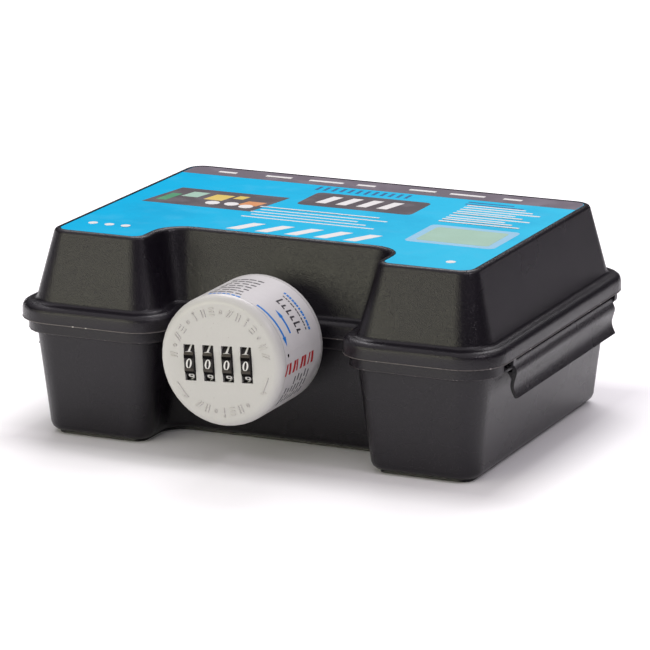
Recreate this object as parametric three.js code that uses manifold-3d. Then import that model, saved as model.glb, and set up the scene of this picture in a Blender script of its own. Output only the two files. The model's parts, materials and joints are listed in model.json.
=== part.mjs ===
// Medication lock box: a hinged case of two moulded shells, held shut by a combination cap
// that screws on a neck split between the shells, and by a snap latch at each end.
// Units are millimetres. X runs along the box, -Y is the lock side and +Z is up.
// The origin is the centre of the box's underside.
import * as THREE from 'three';
import { mergeVertices } from 'three/addons/utils/BufferGeometryUtils.js';
import Module from 'manifold-3d';

const wasm = await Module();
wasm.setup();

// Case
const boxLength = 220;
const boxDepth = 166;
const seamZ = 53;
const topZ = 92.5;
const wallThickness = 2.4;
const floorThickness = 2.6;
const ceilingThickness = 2.6;
const lidDraft = 0.25;
const baseDraft = 0.112;
const baseStep = 1.8;
const recessDepth = 27.5;
const recessHalfWidth = 45;

// Corner radii in plan: at the seam, the lid's top and the underside
const seamCorner = 15;
const topCorner = 8;
const bottomCorner = 9;
const seamLobe = 12.5;
const topLobe = 7;
const bottomLobe = 8;
const seamCove = 6;
const topCove = 12;
const bottomCove = 8;
const sharpest = 0.8;
const cornerSteps = 6;

// Lid flange, rim and label recess
const flangeOut = 4;
const flangeFace = 4.6;
const flangeRound = 3;
const flangeFillet = 1.5;
const flangeWall = 2.4;
const flangeChamfer = 0.4;
const rimRound = 1.3;
const rimWidth = 2.3;
const labelRecess = 0.8;
const labelThickness = 0.35;
const insideFillet = 3;

// Base rim band, tongue, lower edge and foot
const bandOut = 1.3;
const bandDrop = 5.4;
const bandRise = 2.5;
const bandEdge = 0.7;
const lowerEdgeRound = 3.5;
const footHeight = 1.3;
const footInset = 3.2;

// Clearances
const fitGap = 0.3;
const runGap = 0.4;
const pinGap = 0.25;
const seatGap = 0.05;
const overlap = 0.5;

// Rear hinge
const knuckleRadius = 3;
const hingePinRadius = 1.25;
const hingeStation = 55;
const knuckleWidth = 10;
const lidKnuckleWidth = 15;
const hingeDrop = 0.2;

// Side latches
const latchLength = 120;
const latchCentreY = 3;
const latchAxisOut = 2;
const latchAxisDrop = 1.7;
const latchBarrel = 1.3;
const trunnionRadius = 0.8;
const trunnionLength = 2.6;
const lugWidth = 3;
const lugRadius = 2;
const catchSetBack = 1.7;
const notchMargin = 7.5;
const latchDrop = 17.4;
const hookDepth = 2.1;
const hookHeight = 0.9;
const hookSlant = 0.35;
const latchBulge = 0.3;
const latchWaist = 1.1;
const latchTip = 0.7;
const latchEdge = 1.4;
const latchWall = 1.7;

// Neck and cap
const capAxisZ = 52;
const capFaceY = -109.5;
const capRadius = 28.8;
const capLength = 42.5;
const capWall = 2.4;
const capEdgeRound = 4;
const capRearChamfer = 0.5;
const capInsideChamfer = 1;
const capTurnDegrees = 3.4;
const tightenTravel = 4.5;
const neckRadius = 18.2;
const threadDepth = 0.8;
const neckWall = 2.8;
const lidNeckProud = 5.1;
const neckHalfGap = 0.15;
const wrapStart = 4.2;
const wrapEndMargin = 2.2;
const wrapThickness = 0.3;

// Number wheels and windows: the block of wheels stands a little off the cap's own axis
const dialCount = 4;
const dialShiftX = -1;
const dialShiftZ = -0.9;
const dialPitch = 8.85;
const dialWidth = 4.5;
const dialFacet = 10.8;
const dialRib = 11.4;
const dialProud = 1;
const ribHalf = 3;
const ribFlank = 1.6;
const digitCount = 10;
const windowWidth = 5.2;
const windowHeight = 15.8;

// Shaft, code sleeves and clutch
const shaftRadius = 2;
const sleeveBore = 2.3;
const sleeveRound = 3.9;
const sleeveTube = 3.2;
const hubFlat = 4;
const hubWidth = 1;
const camRadius = 7;
const camWidth = 2;
const camFlat = 5.4;
const resetTravel = 1.2;
const resetHoleRadius = 0.8;
const resetHoleY = 7.4;
const resetHoleZ = 2.3;
const padRadius = 5;
const padThickness = 1.2;
const resetSpringRoom = 1.95;
const collarWidth = 1.4;
const collarRoom = 0.6;
const barSetBack = 2;
const barThickness = 2.4;
const barHalfHeight = 2.8;
const dogLength = 1.4;
const dogInner = 15;
const dogOuter = 19;
const dogHalfHeight = 1.6;
const ringDisc = 2.4;
const ringOuter = 22.5;
const ringNotchDepth = 1.4;
const ringNotchHalf = 2;
const ringNotches = 8;
const ringInner = 13.5;
const ringSetBack = 1.5;
const keyHalfWidth = 2;
const keyDepth = 1.4;

// Cap insert, carrier and screws
const insertWall = 2.4;
const insertFlange = 2;
const insertInset = 1.2;
const insertScrews = 3;
const insertPostFront = 1;
const insertScrewDepth = 3.5;
const postRadius = 2.2;
const postSink = 0.3;
const screwRadius = 0.9;
const screwHead = 1.6;
const screwHeadHeight = 0.8;
const screwLift = 0.2;
const screwEndRoom = 0.5;
const carrierScrewDepth = 1.2;
const carrierWall = 1.6;
const carrierRoom = 0.8;
const carrierCorner = 6;
const cheekWall = 1.6;
const cheekHalfHeight = 7;
const springRadius = 1.1;
const springWire = 0.25;
const springLength = 5.4;
const springTurns = 4;
const coilSteps = 8;
const springSide = 0.6;
const resetWire = 0.22;
const resetTurns = 2.5;
const resetWide = 4.6;
const resetNarrow = 2.9;
const sheetThickness = 0.3;
const fingerLift = 0.55;
const fingerSide = 0.6;
const combWidth = 1.2;
const ledgeThickness = 1.8;
const carrierPostX = 12;
const carrierPostZ = 19.4;
const earThickness = 2;

// Places worked out from the sizes above
const halfLength = boxLength / 2;
const halfDepth = boxDepth / 2;
const lidSlopeTop = topZ - seamZ;
const flangeTop = seamZ + flangeFace + flangeRound;
const tongueTop = seamZ + flangeFace + flangeRound - flangeWall;
const hingeY = halfDepth + flangeOut + knuckleRadius + fitGap;
const hingeZ = seamZ - hingeDrop;
const recessWallY = -halfDepth + recessDepth;
const flangeFrontY = recessWallY - flangeOut;
const dialAxisY = dialFacet - dialProud;
const barFront = dialAxisY + dialRib + barSetBack;
const barRear = barFront + barThickness;
const discFront = barRear + dogLength + runGap;
const discRear = discFront + ringDisc;
const insertFront = discRear + fitGap;
const insertRear = capLength - insertInset;
const neckEndY = capFaceY + insertFront + tightenTravel;
const neckBore = neckRadius - neckWall;
const insertBore = neckRadius + threadDepth + fitGap;
const insertOuter = insertBore + insertWall;
const capBore = capRadius - capWall;
const insertScrewCircle = capBore - postRadius + postSink;
const cheekRear = discFront - fitGap;
const sleeveReach = dialPitch - dialWidth / 2 - camWidth - 2 * fitGap;
const leftCheekX = dialPlace(0) - dialWidth / 2 - fitGap - camWidth - resetSpringRoom;
const collarX = dialPlace(dialCount - 1) + sleeveReach + fitGap;
const rightCheekX = collarX + collarWidth + collarRoom;
const frameHalfHeight = dialRib + carrierRoom + carrierWall;
const carrierRear = dialAxisY + dialRib - carrierWall;
const earY = dialAxisY - overlap;
const springOut = cheekWall + springRadius + springSide;
const springX = { left: leftCheekX - springOut, right: rightCheekX + springOut };
const springFront = barFront - springLength;

// Colours
const blackPlastic = { color: 0x2f2e31, roughness: 0.5, metalness: 0 };
const whitePlastic = { color: 0xd2cec6, roughness: 0.45, metalness: 0 };
const greyPlastic = { color: 0x8f9194, roughness: 0.5, metalness: 0 };
const wheelBlack = { color: 0x17171a, roughness: 0.4, metalness: 0 };
const steel = { color: 0xa9abae, roughness: 0.3, metalness: 1 };
const brass = { color: 0xb08f52, roughness: 0.35, metalness: 1 };
const printedBlue = { color: 0x22a9dc, roughness: 0.4, metalness: 0 };
const printedWhite = { color: 0xe2e0e4, roughness: 0.4, metalness: 0 };

const lerp = THREE.MathUtils.lerp;
const radians = THREE.MathUtils.degToRad;

// A closed three.js geometry as a solid that can be joined and cut
function solid(geometry) {
  const bare = geometry.clone();
  bare.deleteAttribute('normal');
  bare.deleteAttribute('uv');
  const merged = mergeVertices(bare, 1e-4);
  return new wasm.Manifold(new wasm.Mesh({
    numProp: 3,
    vertProperties: new Float32Array(merged.attributes.position.array),
    triVerts: new Uint32Array(merged.index.array),
  }));
}

// A solid back as a three.js geometry
function geometryOf(body) {
  const mesh = body.getMesh();
  const geometry = new THREE.BufferGeometry();
  geometry.setAttribute('position', new THREE.BufferAttribute(new Float32Array(mesh.vertProperties), 3));
  geometry.setIndex(new THREE.BufferAttribute(new Uint32Array(mesh.triVerts), 1));
  geometry.computeVertexNormals();
  return geometry;
}

function piece(name, body, look) {
  const mesh = new THREE.Mesh(geometryOf(body), new THREE.MeshStandardMaterial(look));
  mesh.name = name;
  return mesh;
}

function joined(bodies) {
  return bodies.reduce((sum, body) => sum.add(body));
}

function less(body, cutters) {
  return cutters.reduce((rest, cutter) => rest.subtract(cutter), body);
}

// A block between two corners
function block(x0, x1, y0, y1, z0, z1) {
  const geometry = new THREE.BoxGeometry(x1 - x0, y1 - y0, z1 - z0);
  geometry.translate((x0 + x1) / 2, (y0 + y1) / 2, (z0 + z1) / 2);
  return solid(geometry);
}

// Round rods along each axis, given by the two ends and the centre in the other two directions
function rodX(radius, x0, x1, y, z, sides = 16) {
  const geometry = new THREE.CylinderGeometry(radius, radius, x1 - x0, sides);
  geometry.rotateZ(-Math.PI / 2);
  geometry.translate((x0 + x1) / 2, y, z);
  return solid(geometry);
}

function rodY(radius, y0, y1, x, z, sides = 12) {
  const geometry = new THREE.CylinderGeometry(radius, radius, y1 - y0, sides);
  geometry.translate(x, (y0 + y1) / 2, z);
  return solid(geometry);
}

// A flat outline pushed along X: the points are (y, z)
function extrudeX(points, x0, x1) {
  const shape = new THREE.Shape(points.map(([y, z]) => new THREE.Vector2(y, z)));
  const geometry = new THREE.ExtrudeGeometry(shape, { depth: x1 - x0, bevelEnabled: false });
  const turn = new THREE.Matrix4().makeBasis(
    new THREE.Vector3(0, 1, 0), new THREE.Vector3(0, 0, 1), new THREE.Vector3(1, 0, 0));
  geometry.applyMatrix4(turn);
  geometry.translate(x0, 0, 0);
  return solid(geometry);
}

// A flat outline pushed along Y: the points are (x, z)
function extrudeY(points, y0, y1) {
  const shape = new THREE.Shape(points.map(([x, z]) => new THREE.Vector2(x, z)));
  const geometry = new THREE.ExtrudeGeometry(shape, { depth: y1 - y0, bevelEnabled: false });
  geometry.rotateX(Math.PI / 2);
  geometry.translate(0, y1, 0);
  return solid(geometry);
}

// A closed profile of (radius, y) points turned about the Y axis
function turned(profile, sides = 48) {
  const points = profile.map(([radius, y]) => new THREE.Vector2(radius, y));
  points.push(points[0].clone());
  return solid(new THREE.LatheGeometry(points, sides));
}

function ringY(outer, inner, y0, y1, sides = 48) {
  return turned([[inner, y0], [outer, y0], [outer, y1], [inner, y1]], sides);
}

// The points of an arc, both ends included
function arc(cx, cy, radius, fromDegrees, toDegrees, steps) {
  const points = [];
  for (let i = 0; i <= steps; i += 1) {
    const angle = radians(lerp(fromDegrees, toDegrees, i / steps));
    points.push([cx + radius * Math.cos(angle), cy + radius * Math.sin(angle)]);
  }
  return points;
}

// A smooth curve through a few points
function smooth(points, steps) {
  const curve = new THREE.SplineCurve(points.map(([x, y]) => new THREE.Vector2(x, y)));
  return curve.getPoints(steps).map((p) => [p.x, p.y]);
}

// The case's plan outline at one height: a box with a front recess between two lobes.
// grow moves every wall outward from its place at the seam.
function planRing(z, grow, corner, lobe, cove) {
  const length = halfLength + grow;
  const depth = halfDepth + grow;
  const gap = recessHalfWidth - grow;
  const back = -depth + recessDepth;
  const round = Math.max(corner, sharpest);
  const nose = Math.max(lobe, sharpest);
  const hollow = Math.max(cove, sharpest);
  const points = [
    ...arc(length - round, -depth + round, round, -90, 0, cornerSteps),
    ...arc(length - round, depth - round, round, 0, 90, cornerSteps),
    ...arc(-length + round, depth - round, round, 90, 180, cornerSteps),
    ...arc(-length + round, -depth + round, round, 180, 270, cornerSteps),
    ...arc(-gap - nose, -depth + nose, nose, 270, 360, cornerSteps),
    ...arc(-gap + hollow, back - hollow, hollow, 180, 90, cornerSteps),
    ...arc(gap - hollow, back - hollow, hollow, 90, 0, cornerSteps),
    ...arc(gap + nose, -depth + nose, nose, 180, 270, cornerSteps),
  ];
  return points.map(([x, y]) => new THREE.Vector3(x, y, z));
}

// A ring on the lid's wall at a height, moved outward by out
function lidRing(z, out) {
  const share = (z - seamZ) / lidSlopeTop;
  return planRing(
    z,
    out - (z - seamZ) * lidDraft,
    lerp(seamCorner, topCorner, share) + out,
    lerp(seamLobe, topLobe, share) + out,
    lerp(seamCove, topCove, share) - out,
  );
}

// A ring on the base's wall at a height, moved outward by out
function baseRing(z, out) {
  const share = (seamZ - z) / seamZ;
  return planRing(
    z,
    out - baseStep - (seamZ - z) * baseDraft,
    lerp(seamCorner - baseStep, bottomCorner, share) + out,
    lerp(seamLobe - baseStep, bottomLobe, share) + out,
    lerp(seamCove + baseStep, bottomCove, share) - out,
  );
}

// A solid skinned over rings of equal count, with both ends closed
function skinned(rings) {
  const count = rings[0].length;
  const positions = rings.flat().flatMap((p) => [p.x, p.y, p.z]);
  const index = [];
  for (let i = 0; i + 1 < rings.length; i += 1) {
    for (let j = 0; j < count; j += 1) {
      const a = i * count + j;
      const b = i * count + (j + 1) % count;
      index.push(a, b, b + count, a, b + count, a + count);
    }
  }
  const closeEnd = (ring, offset, upward) => {
    const flat = ring.map((p) => new THREE.Vector2(p.x, p.y));
    for (const [a, b, c] of THREE.ShapeUtils.triangulateShape(flat, [])) {
      const area = THREE.ShapeUtils.area([flat[a], flat[b], flat[c]]);
      const face = (area > 0) === upward ? [a, b, c] : [a, c, b];
      index.push(...face.map((k) => k + offset));
    }
  };
  closeEnd(rings[0], 0, false);
  closeEnd(rings[rings.length - 1], (rings.length - 1) * count, true);
  const point = (k) => new THREE.Vector3().fromArray(positions, k * 3);
  let volume = 0;
  for (let k = 0; k < index.length; k += 3) {
    volume += point(index[k]).dot(point(index[k + 1]).cross(point(index[k + 2])));
  }
  if (volume < 0) index.reverse();
  const geometry = new THREE.BufferGeometry();
  geometry.setAttribute('position', new THREE.Float32BufferAttribute(positions, 3));
  geometry.setIndex(index);
  return solid(geometry);
}

// Lid: from the ceiling down the inside, round the flange and up the outside to the label recess
function lidShell() {
  const ceiling = topZ - labelRecess - ceilingThickness;
  const rings = [];
  for (const [inset, drop] of arc(insideFillet, insideFillet, insideFillet, 270, 180, 2)) {
    rings.push(lidRing(ceiling - drop, -wallThickness - inset));
  }
  rings.push(lidRing(tongueTop + fitGap, -wallThickness));
  rings.push(planRing(tongueTop + fitGap, flangeOut - flangeWall, seamCorner + flangeOut - flangeWall,
    seamLobe + flangeOut - flangeWall, seamCove - flangeOut + flangeWall));
  const flangeRing = (z, out) => planRing(z, out, seamCorner + out, seamLobe + out, seamCove - out);
  rings.push(flangeRing(seamZ, flangeOut - flangeWall));
  rings.push(flangeRing(seamZ, flangeOut - flangeChamfer));
  rings.push(flangeRing(seamZ + flangeChamfer, flangeOut));
  for (const [out, z] of arc(flangeOut - flangeRound, seamZ + flangeFace, flangeRound, 0, 90, 4)) {
    rings.push(flangeRing(z, out));
  }
  for (const [out, z] of arc(flangeFillet, flangeTop + flangeFillet, flangeFillet, 270, 180, 2)) {
    rings.push(lidRing(z, out));
  }
  for (const [inset, z] of arc(rimRound, topZ - rimRound, rimRound, 180, 90, 2)) {
    rings.push(lidRing(z, -inset));
  }
  rings.push(lidRing(topZ, -rimWidth));
  rings.push(lidRing(topZ - labelRecess, -rimWidth));

  const parts = [skinned(rings), lidNeck()];
  for (const side of [-1, 1]) {
    parts.push(lidKnuckle(side), ...latchLugs(side));
  }
  const holes = [-1, 1].map((side) => rodX(hingePinRadius + fitGap,
    side * hingeStation - lidKnuckleWidth, side * hingeStation + lidKnuckleWidth, hingeY, hingeZ));
  return less(joined(parts), holes);
}

// Upper half of the neck: short, so that it lies behind the cap's skirt when the cap is slackened
function lidNeck() {
  const front = flangeFrontY - lidNeckProud;
  const rear = recessWallY + lidSlopeTop * lidDraft;
  const ring = ringY(neckRadius, neckBore, front, rear, 48).translate([0, 0, capAxisZ]);
  const keep = block(-neckRadius - 1, neckRadius + 1, front - 1, rear + 1, seamZ + neckHalfGap, topZ);
  const wall = skinned([lidRing(seamZ, -wallThickness / 2), lidRing(topZ, -wallThickness / 2)]);
  const flange = flangeOut - flangeWall / 2;
  const skirt = skinned([
    planRing(seamZ, flange, seamCorner, seamLobe, seamCove),
    planRing(tongueTop + fitGap, flange, seamCorner, seamLobe, seamCove),
  ]);
  return less(ring.intersect(keep), [wall, skirt]);
}

function lidKnuckle(side) {
  const x0 = side * hingeStation - lidKnuckleWidth / 2;
  const x1 = side * hingeStation + lidKnuckleWidth / 2;
  const barrel = rodX(knuckleRadius, x0, x1, hingeY, hingeZ);
  const root = halfDepth + flangeOut - flangeWall / 2;
  const web = block(x0, x1, root, hingeY, hingeZ + fitGap, hingeZ + knuckleRadius);
  return barrel.add(web);
}

// Lugs under the flange that carry a side latch's trunnions
function latchLugs(side) {
  const x = side * (halfLength + latchAxisOut);
  const z = seamZ - latchAxisDrop;
  const starts = [
    latchCentreY - latchLength / 2 - fitGap - lugWidth,
    latchCentreY + latchLength / 2 + fitGap,
  ];
  return starts.map((y0) => {
    const y1 = y0 + lugWidth;
    const eye = rodY(lugRadius, y0, y1, x, z, 16);
    const stem = block(x - lugRadius, x + lugRadius, y0, y1, z, seamZ + flangeFace / 2);
    const hole = rodY(trunnionRadius + fitGap, y0 - 1, y1 + 1, x, z);
    return less(joined([eye, stem]), [hole]);
  });
}

// Base: from the floor up the inside, over the tongue and the rim band, and down to the foot
function baseTray() {
  const floor = footHeight + floorThickness;
  const rings = [];
  for (const [inset, z] of arc(insideFillet, floor + insideFillet, insideFillet, 270, 180, 2)) {
    rings.push(baseRing(z, -wallThickness - inset));
  }
  const tongueRing = (z, out) => planRing(z, out, seamCorner + out, seamLobe + out, seamCove - out);
  rings.push(tongueRing(tongueTop, -baseStep - wallThickness));
  rings.push(tongueRing(tongueTop, -baseStep));
  rings.push(tongueRing(seamZ + bandRise, -baseStep));
  rings.push(tongueRing(seamZ + bandRise, bandOut));
  for (const [out, z] of arc(bandOut - bandEdge, seamZ - bandDrop + bandEdge, bandEdge, 0, -90, 2)) {
    rings.push(tongueRing(z, out));
  }
  rings.push(baseRing(seamZ - bandDrop, 0));
  for (const [inset, z] of arc(lowerEdgeRound, footHeight + lowerEdgeRound, lowerEdgeRound, 180, 270, 3)) {
    rings.push(baseRing(z, -inset));
  }
  rings.push(baseRing(footHeight, -lowerEdgeRound - fitGap));
  rings.push(baseRing(0, -footInset - fitGap));

  const parts = [skinned(rings), baseNeck()];
  for (const side of [-1, 1]) {
    parts.push(...baseKnuckles(side));
  }
  const cuts = [-1, 1].flatMap((side) => [catchNotch(side), hingeBore(side)]);
  return less(joined(parts), cuts);
}

// Lower half of the neck: long, with a keyway along its lowest line
function baseNeck() {
  const rear = recessWallY + baseStep + wallThickness / 2;
  const ring = ringY(neckRadius, neckBore, neckEndY, rear, 48).translate([0, 0, capAxisZ]);
  const keep = block(-neckRadius - 1, neckRadius + 1, neckEndY - 1, rear + 1, 0, seamZ - neckHalfGap);
  const keyway = block(-keyHalfWidth - fitGap, keyHalfWidth + fitGap, neckEndY - 1, flangeFrontY,
    capAxisZ - neckBore - keyDepth - fitGap, capAxisZ);
  return ring.intersect(keep).subtract(keyway);
}

function baseKnuckles(side) {
  const inner = lidKnuckleWidth / 2 + fitGap;
  const spans = [[-inner - knuckleWidth, -inner], [inner, inner + knuckleWidth]];
  return spans.map(([a, b]) => {
    const x0 = side * hingeStation + a;
    const x1 = side * hingeStation + b;
    const barrel = rodX(knuckleRadius, x0, x1, hingeY, hingeZ);
    const web = block(x0, x1, halfDepth, hingeY, hingeZ - knuckleRadius, hingeZ - fitGap);
    return barrel.add(web);
  });
}

function hingeBore(side) {
  const reach = lidKnuckleWidth / 2 + knuckleWidth + 1;
  const x = side * hingeStation;
  return rodX(hingePinRadius + pinGap, x - reach, x + reach, hingeY, hingeZ);
}

// The rim band is set back behind each latch, and its lower edge there is the catch
function catchNotch(side) {
  const y0 = latchCentreY - latchLength / 2 - notchMargin;
  const y1 = latchCentreY + latchLength / 2 + notchMargin;
  const inner = halfLength + bandOut - catchSetBack;
  const outer = halfLength + flangeOut;
  const x0 = side > 0 ? inner : -outer;
  const x1 = side > 0 ? outer : -inner;
  return block(x0, x1, y0, y1, seamZ - bandDrop - 1, tongueTop + 1);
}

function hingePin(side) {
  const reach = lidKnuckleWidth / 2 + knuckleWidth;
  return rodX(hingePinRadius, side * hingeStation - reach, side * hingeStation + reach, hingeY, hingeZ);
}

// Side latch: an S-shaped flap with a barrel and trunnions along its top edge and a hook inside
function sideLatch(side) {
  const out = (points) => points.map(([x, z]) => [side * (halfLength + x), seamZ + z]);
  const bulge = flangeOut + latchBulge;
  const waist = flangeOut - latchWaist;
  const tip = flangeOut + latchTip;
  const face = smooth([
    [latchAxisOut + latchBarrel, -latchAxisDrop], [latchAxisOut + latchBarrel, -0.2 * latchDrop],
    [bulge, -0.34 * latchDrop], [bulge - 0.5, -0.49 * latchDrop], [waist, -0.68 * latchDrop],
    [waist + 0.5, -0.84 * latchDrop], [tip, -latchDrop],
  ], 12);
  const back = smooth([
    [tip - latchEdge, -latchDrop - 0.2], [waist - latchWall + 0.5, -0.84 * latchDrop],
    [waist - latchWall, -0.68 * latchDrop], [waist - latchWall + 0.5, -0.53 * latchDrop],
  ], 5);
  const hookTop = -bandDrop - hookHeight;
  const hookTip = bandOut - catchSetBack + fitGap + seatGap;
  const flap = [
    ...face, ...back,
    [hookTip + hookSlant, hookTop - hookHeight], [hookTip, hookTop - hookHeight / 2], [hookTip, hookTop],
    [hookTip + hookDepth, hookTop],
    [latchAxisOut + seatGap, -0.25 * latchDrop],
    [latchAxisOut - latchBarrel + fitGap, -latchAxisDrop - overlap],
    [latchAxisOut, -latchAxisDrop],
  ];
  const y0 = latchCentreY - latchLength / 2;
  const y1 = latchCentreY + latchLength / 2;
  const x = side * (halfLength + latchAxisOut);
  const z = seamZ - latchAxisDrop;
  return joined([
    extrudeY(out(flap), y0, y1),
    rodY(latchBarrel, y0, y1, x, z, 16),
    rodY(trunnionRadius, y0 - trunnionLength, y1 + trunnionLength, x, z),
  ]);
}

// Printed label that lies in the lid's recess
function lidLabel() {
  const low = topZ - labelRecess + fitGap;
  const inset = rimWidth + fitGap;
  return skinned([lidRing(low, -inset), lidRing(low + labelThickness, -inset)]);
}

// The cap is modelled about its own axis: y is the depth behind its face, x runs along the dials
function dialPlace(index) {
  return dialShiftX + (index - (dialCount - 1) / 2) * dialPitch;
}

function capShell() {
  const label = capRadius - wrapThickness - fitGap;
  const wrapEnd = capLength - wrapEndMargin;
  const edge = arc(capRadius - capEdgeRound, capEdgeRound, capEdgeRound, -90, 0, 4);
  const body = turned([
    [0, 0], ...edge, [capRadius, wrapStart], [label, wrapStart], [label, wrapEnd], [capRadius, wrapEnd],
    [capRadius, capLength - capRearChamfer], [capRadius - capRearChamfer, capLength],
    [capBore, capLength],
    [capBore, capWall + capInsideChamfer], [capBore - capInsideChamfer, capWall], [0, capWall],
  ]);
  const posts = [];
  const cuts = [];
  for (const [x, z] of carrierPosts()) {
    posts.push(rodY(postRadius, capWall / 2, earY - fitGap, x, z));
    cuts.push(rodY(screwRadius + fitGap, capWall + carrierScrewDepth - screwEndRoom, earY + 1, x, z, 8));
  }
  for (const [x, z] of insertScrewPlaces()) {
    posts.push(rodY(postRadius, insertFront + insertPostFront, insertRear - insertFlange - fitGap, x, z));
    cuts.push(rodY(screwRadius + fitGap, insertFront + insertScrewDepth - screwEndRoom, insertRear, x, z, 8));
  }
  for (let i = 0; i < dialCount; i += 1) {
    const x0 = dialPlace(i) - windowWidth / 2;
    const x1 = dialPlace(i) + windowWidth / 2;
    cuts.push(block(x0, x1, -1, capWall + 1, dialShiftZ - windowHeight / 2, dialShiftZ + windowHeight / 2));
    cuts.push(rodX(dialRib + runGap, x0, x1, dialAxisY, dialShiftZ, 28));
  }
  cuts.push(resetHole());
  return less(joined([body, ...posts]), cuts);
}

// Screw posts inside the cap's face that carry the dial carrier
function carrierPosts() {
  const posts = [];
  for (const x of [-carrierPostX, carrierPostX]) {
    for (const z of [-carrierPostZ, carrierPostZ]) {
      posts.push([x, z]);
    }
  }
  return posts;
}

function insertScrewPlaces() {
  const places = [];
  for (let i = 0; i < insertScrews; i += 1) {
    const angle = radians(90 + (i * 360) / insertScrews);
    places.push([insertScrewCircle * Math.cos(angle), insertScrewCircle * Math.sin(angle)]);
  }
  return places;
}

function capWrapLabel() {
  const wrapEnd = capLength - wrapEndMargin;
  const band = ringY(capRadius, capRadius - wrapThickness, wrapStart + fitGap, wrapEnd - fitGap);
  return less(band, [resetHole()]);
}

// The hole on the cap's right side that lets a pin reach the dial shaft
function resetHole() {
  return rodX(resetHoleRadius, capBore - 1, capRadius + 1, resetHoleY, resetHoleZ, 12);
}

// Threaded insert: its bore runs on the neck, and its flange is screwed to posts in the skirt
function threadInsert() {
  const body = turned([
    [insertBore, insertFront], [insertOuter, insertFront], [insertOuter, insertRear - insertFlange],
    [capBore - fitGap, insertRear - insertFlange], [capBore - fitGap, insertRear], [insertBore, insertRear],
  ], 40);
  const holes = insertScrewPlaces().map(([x, z]) => (
    rodY(screwRadius + fitGap, insertFront, insertRear + 1, x, z, 8)));
  return less(body, holes);
}

// A small pan-head screw along Y with its head towards the cap's rear
function screw(x, z, tip, seat) {
  return joined([
    rodY(screwRadius, tip, seat + screwHeadHeight / 2, x, z, 8),
    rodY(screwHead, seat, seat + screwHeadHeight, x, z),
  ]);
}

// Dial carrier: a frame round the wheels with cheeks for the shaft, slots for the clutch bar and screw ears
function dialCarrier() {
  const left = leftCheekX - cheekWall;
  const right = rightCheekX + cheekWall;
  const front = capWall + fitGap;
  const inside = carrierCorner - carrierWall;
  const parts = [less(
    roundedFrame(left, right, frameHalfHeight, carrierCorner, front, carrierRear),
    [roundedFrame(leftCheekX, rightCheekX, frameHalfHeight - carrierWall, inside, front - 1, carrierRear + 1)],
  )];
  const cuts = [];
  const low = dialShiftZ - cheekHalfHeight;
  const high = dialShiftZ + cheekHalfHeight;
  const slotHalf = barHalfHeight + runGap;
  const ledgeRear = springFront - fitGap;
  const ledgeHalf = springRadius + springSide;
  const cheeks = [
    [left, leftCheekX, springX.left - ledgeHalf, left + overlap],
    [rightCheekX, right, right - overlap, springX.right + ledgeHalf],
  ];
  for (const [x0, x1, ledge0, ledge1] of cheeks) {
    parts.push(block(x0, x1, carrierRear - cheekHalfHeight / 2, cheekRear, low, high));
    parts.push(block(ledge0, ledge1, ledgeRear - ledgeThickness, ledgeRear,
      dialShiftZ - ledgeHalf, dialShiftZ + ledgeHalf));
    const slotFront = barFront - runGap;
    cuts.push(block(x0 - 1, x1 + 1, slotFront, cheekRear + 1, dialShiftZ - slotHalf, dialShiftZ + slotHalf));
    cuts.push(rodX(shaftRadius + fitGap, x0 - 1, x1 + 1, dialAxisY, dialShiftZ));
  }
  for (const [x, z] of carrierPosts()) {
    const rail = dialShiftZ + Math.sign(z) * (frameHalfHeight - carrierWall / 2);
    const low = Math.min(z, rail);
    parts.push(block(x - postRadius, x + postRadius, earY, earY + earThickness, low, Math.max(z, rail)));
    parts.push(rodY(postRadius, earY, earY + earThickness, x, z));
    cuts.push(rodY(screwRadius + fitGap, earY - 1, earY + earThickness + 1, x, z, 8));
  }
  return less(joined(parts), cuts);
}

// A box with rounded corners between two depths, centred on the wheels' height
function roundedFrame(left, right, halfHeight, radius, y0, y1) {
  const low = dialShiftZ - halfHeight + radius;
  const high = dialShiftZ + halfHeight - radius;
  return extrudeY([
    ...arc(right - radius, low, radius, -90, 0, 3),
    ...arc(right - radius, high, radius, 0, 90, 3),
    ...arc(left + radius, high, radius, 90, 180, 3),
    ...arc(left + radius, low, radius, 180, 270, 3),
  ], y0, y1);
}

// A (y, z) point at an angle and distance from the wheels' axis
function onDial(degrees, distance) {
  const angle = radians(degrees);
  return [dialAxisY + distance * Math.cos(angle), dialShiftZ + distance * Math.sin(angle)];
}

// Number wheel: ten facets with a finger rib between each two, and a ten-sided socket at one end of its bore
function dialWheel(index) {
  const x = dialPlace(index);
  const step = 360 / digitCount;
  const profile = [];
  for (let i = 0; i < digitCount; i += 1) {
    const middle = 180 + step / 2 + i * step;
    const foot = dialFacet / Math.cos(radians(step / 2 - ribHalf - ribFlank));
    const flank = ribHalf + ribFlank;
    for (const [turn, radius] of [[-flank, foot], [-ribHalf, dialRib], [ribHalf, dialRib], [flank, foot]]) {
      profile.push(onDial(middle + turn, radius));
    }
  }
  const half = dialWidth / 2;
  const socketStart = x + half - hubWidth - seatGap;
  const socket = extrudeX(decagon(hubFlat + fitGap), socketStart - overlap, x + half + 1);
  const hubCorner = hubFlat / Math.cos(radians(step / 2));
  const bore = rodX(hubCorner + 2 * fitGap, x - half - 1, socketStart, dialAxisY, dialShiftZ);
  return less(extrudeX(profile, x - half, x + half), [socket, bore]);
}

function decagon(flat) {
  const step = 360 / digitCount;
  const radius = flat / Math.cos(radians(step / 2));
  const points = [];
  for (let i = 0; i < digitCount; i += 1) {
    points.push(onDial(180 + step / 2 + i * step, radius));
  }
  return points;
}

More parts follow.
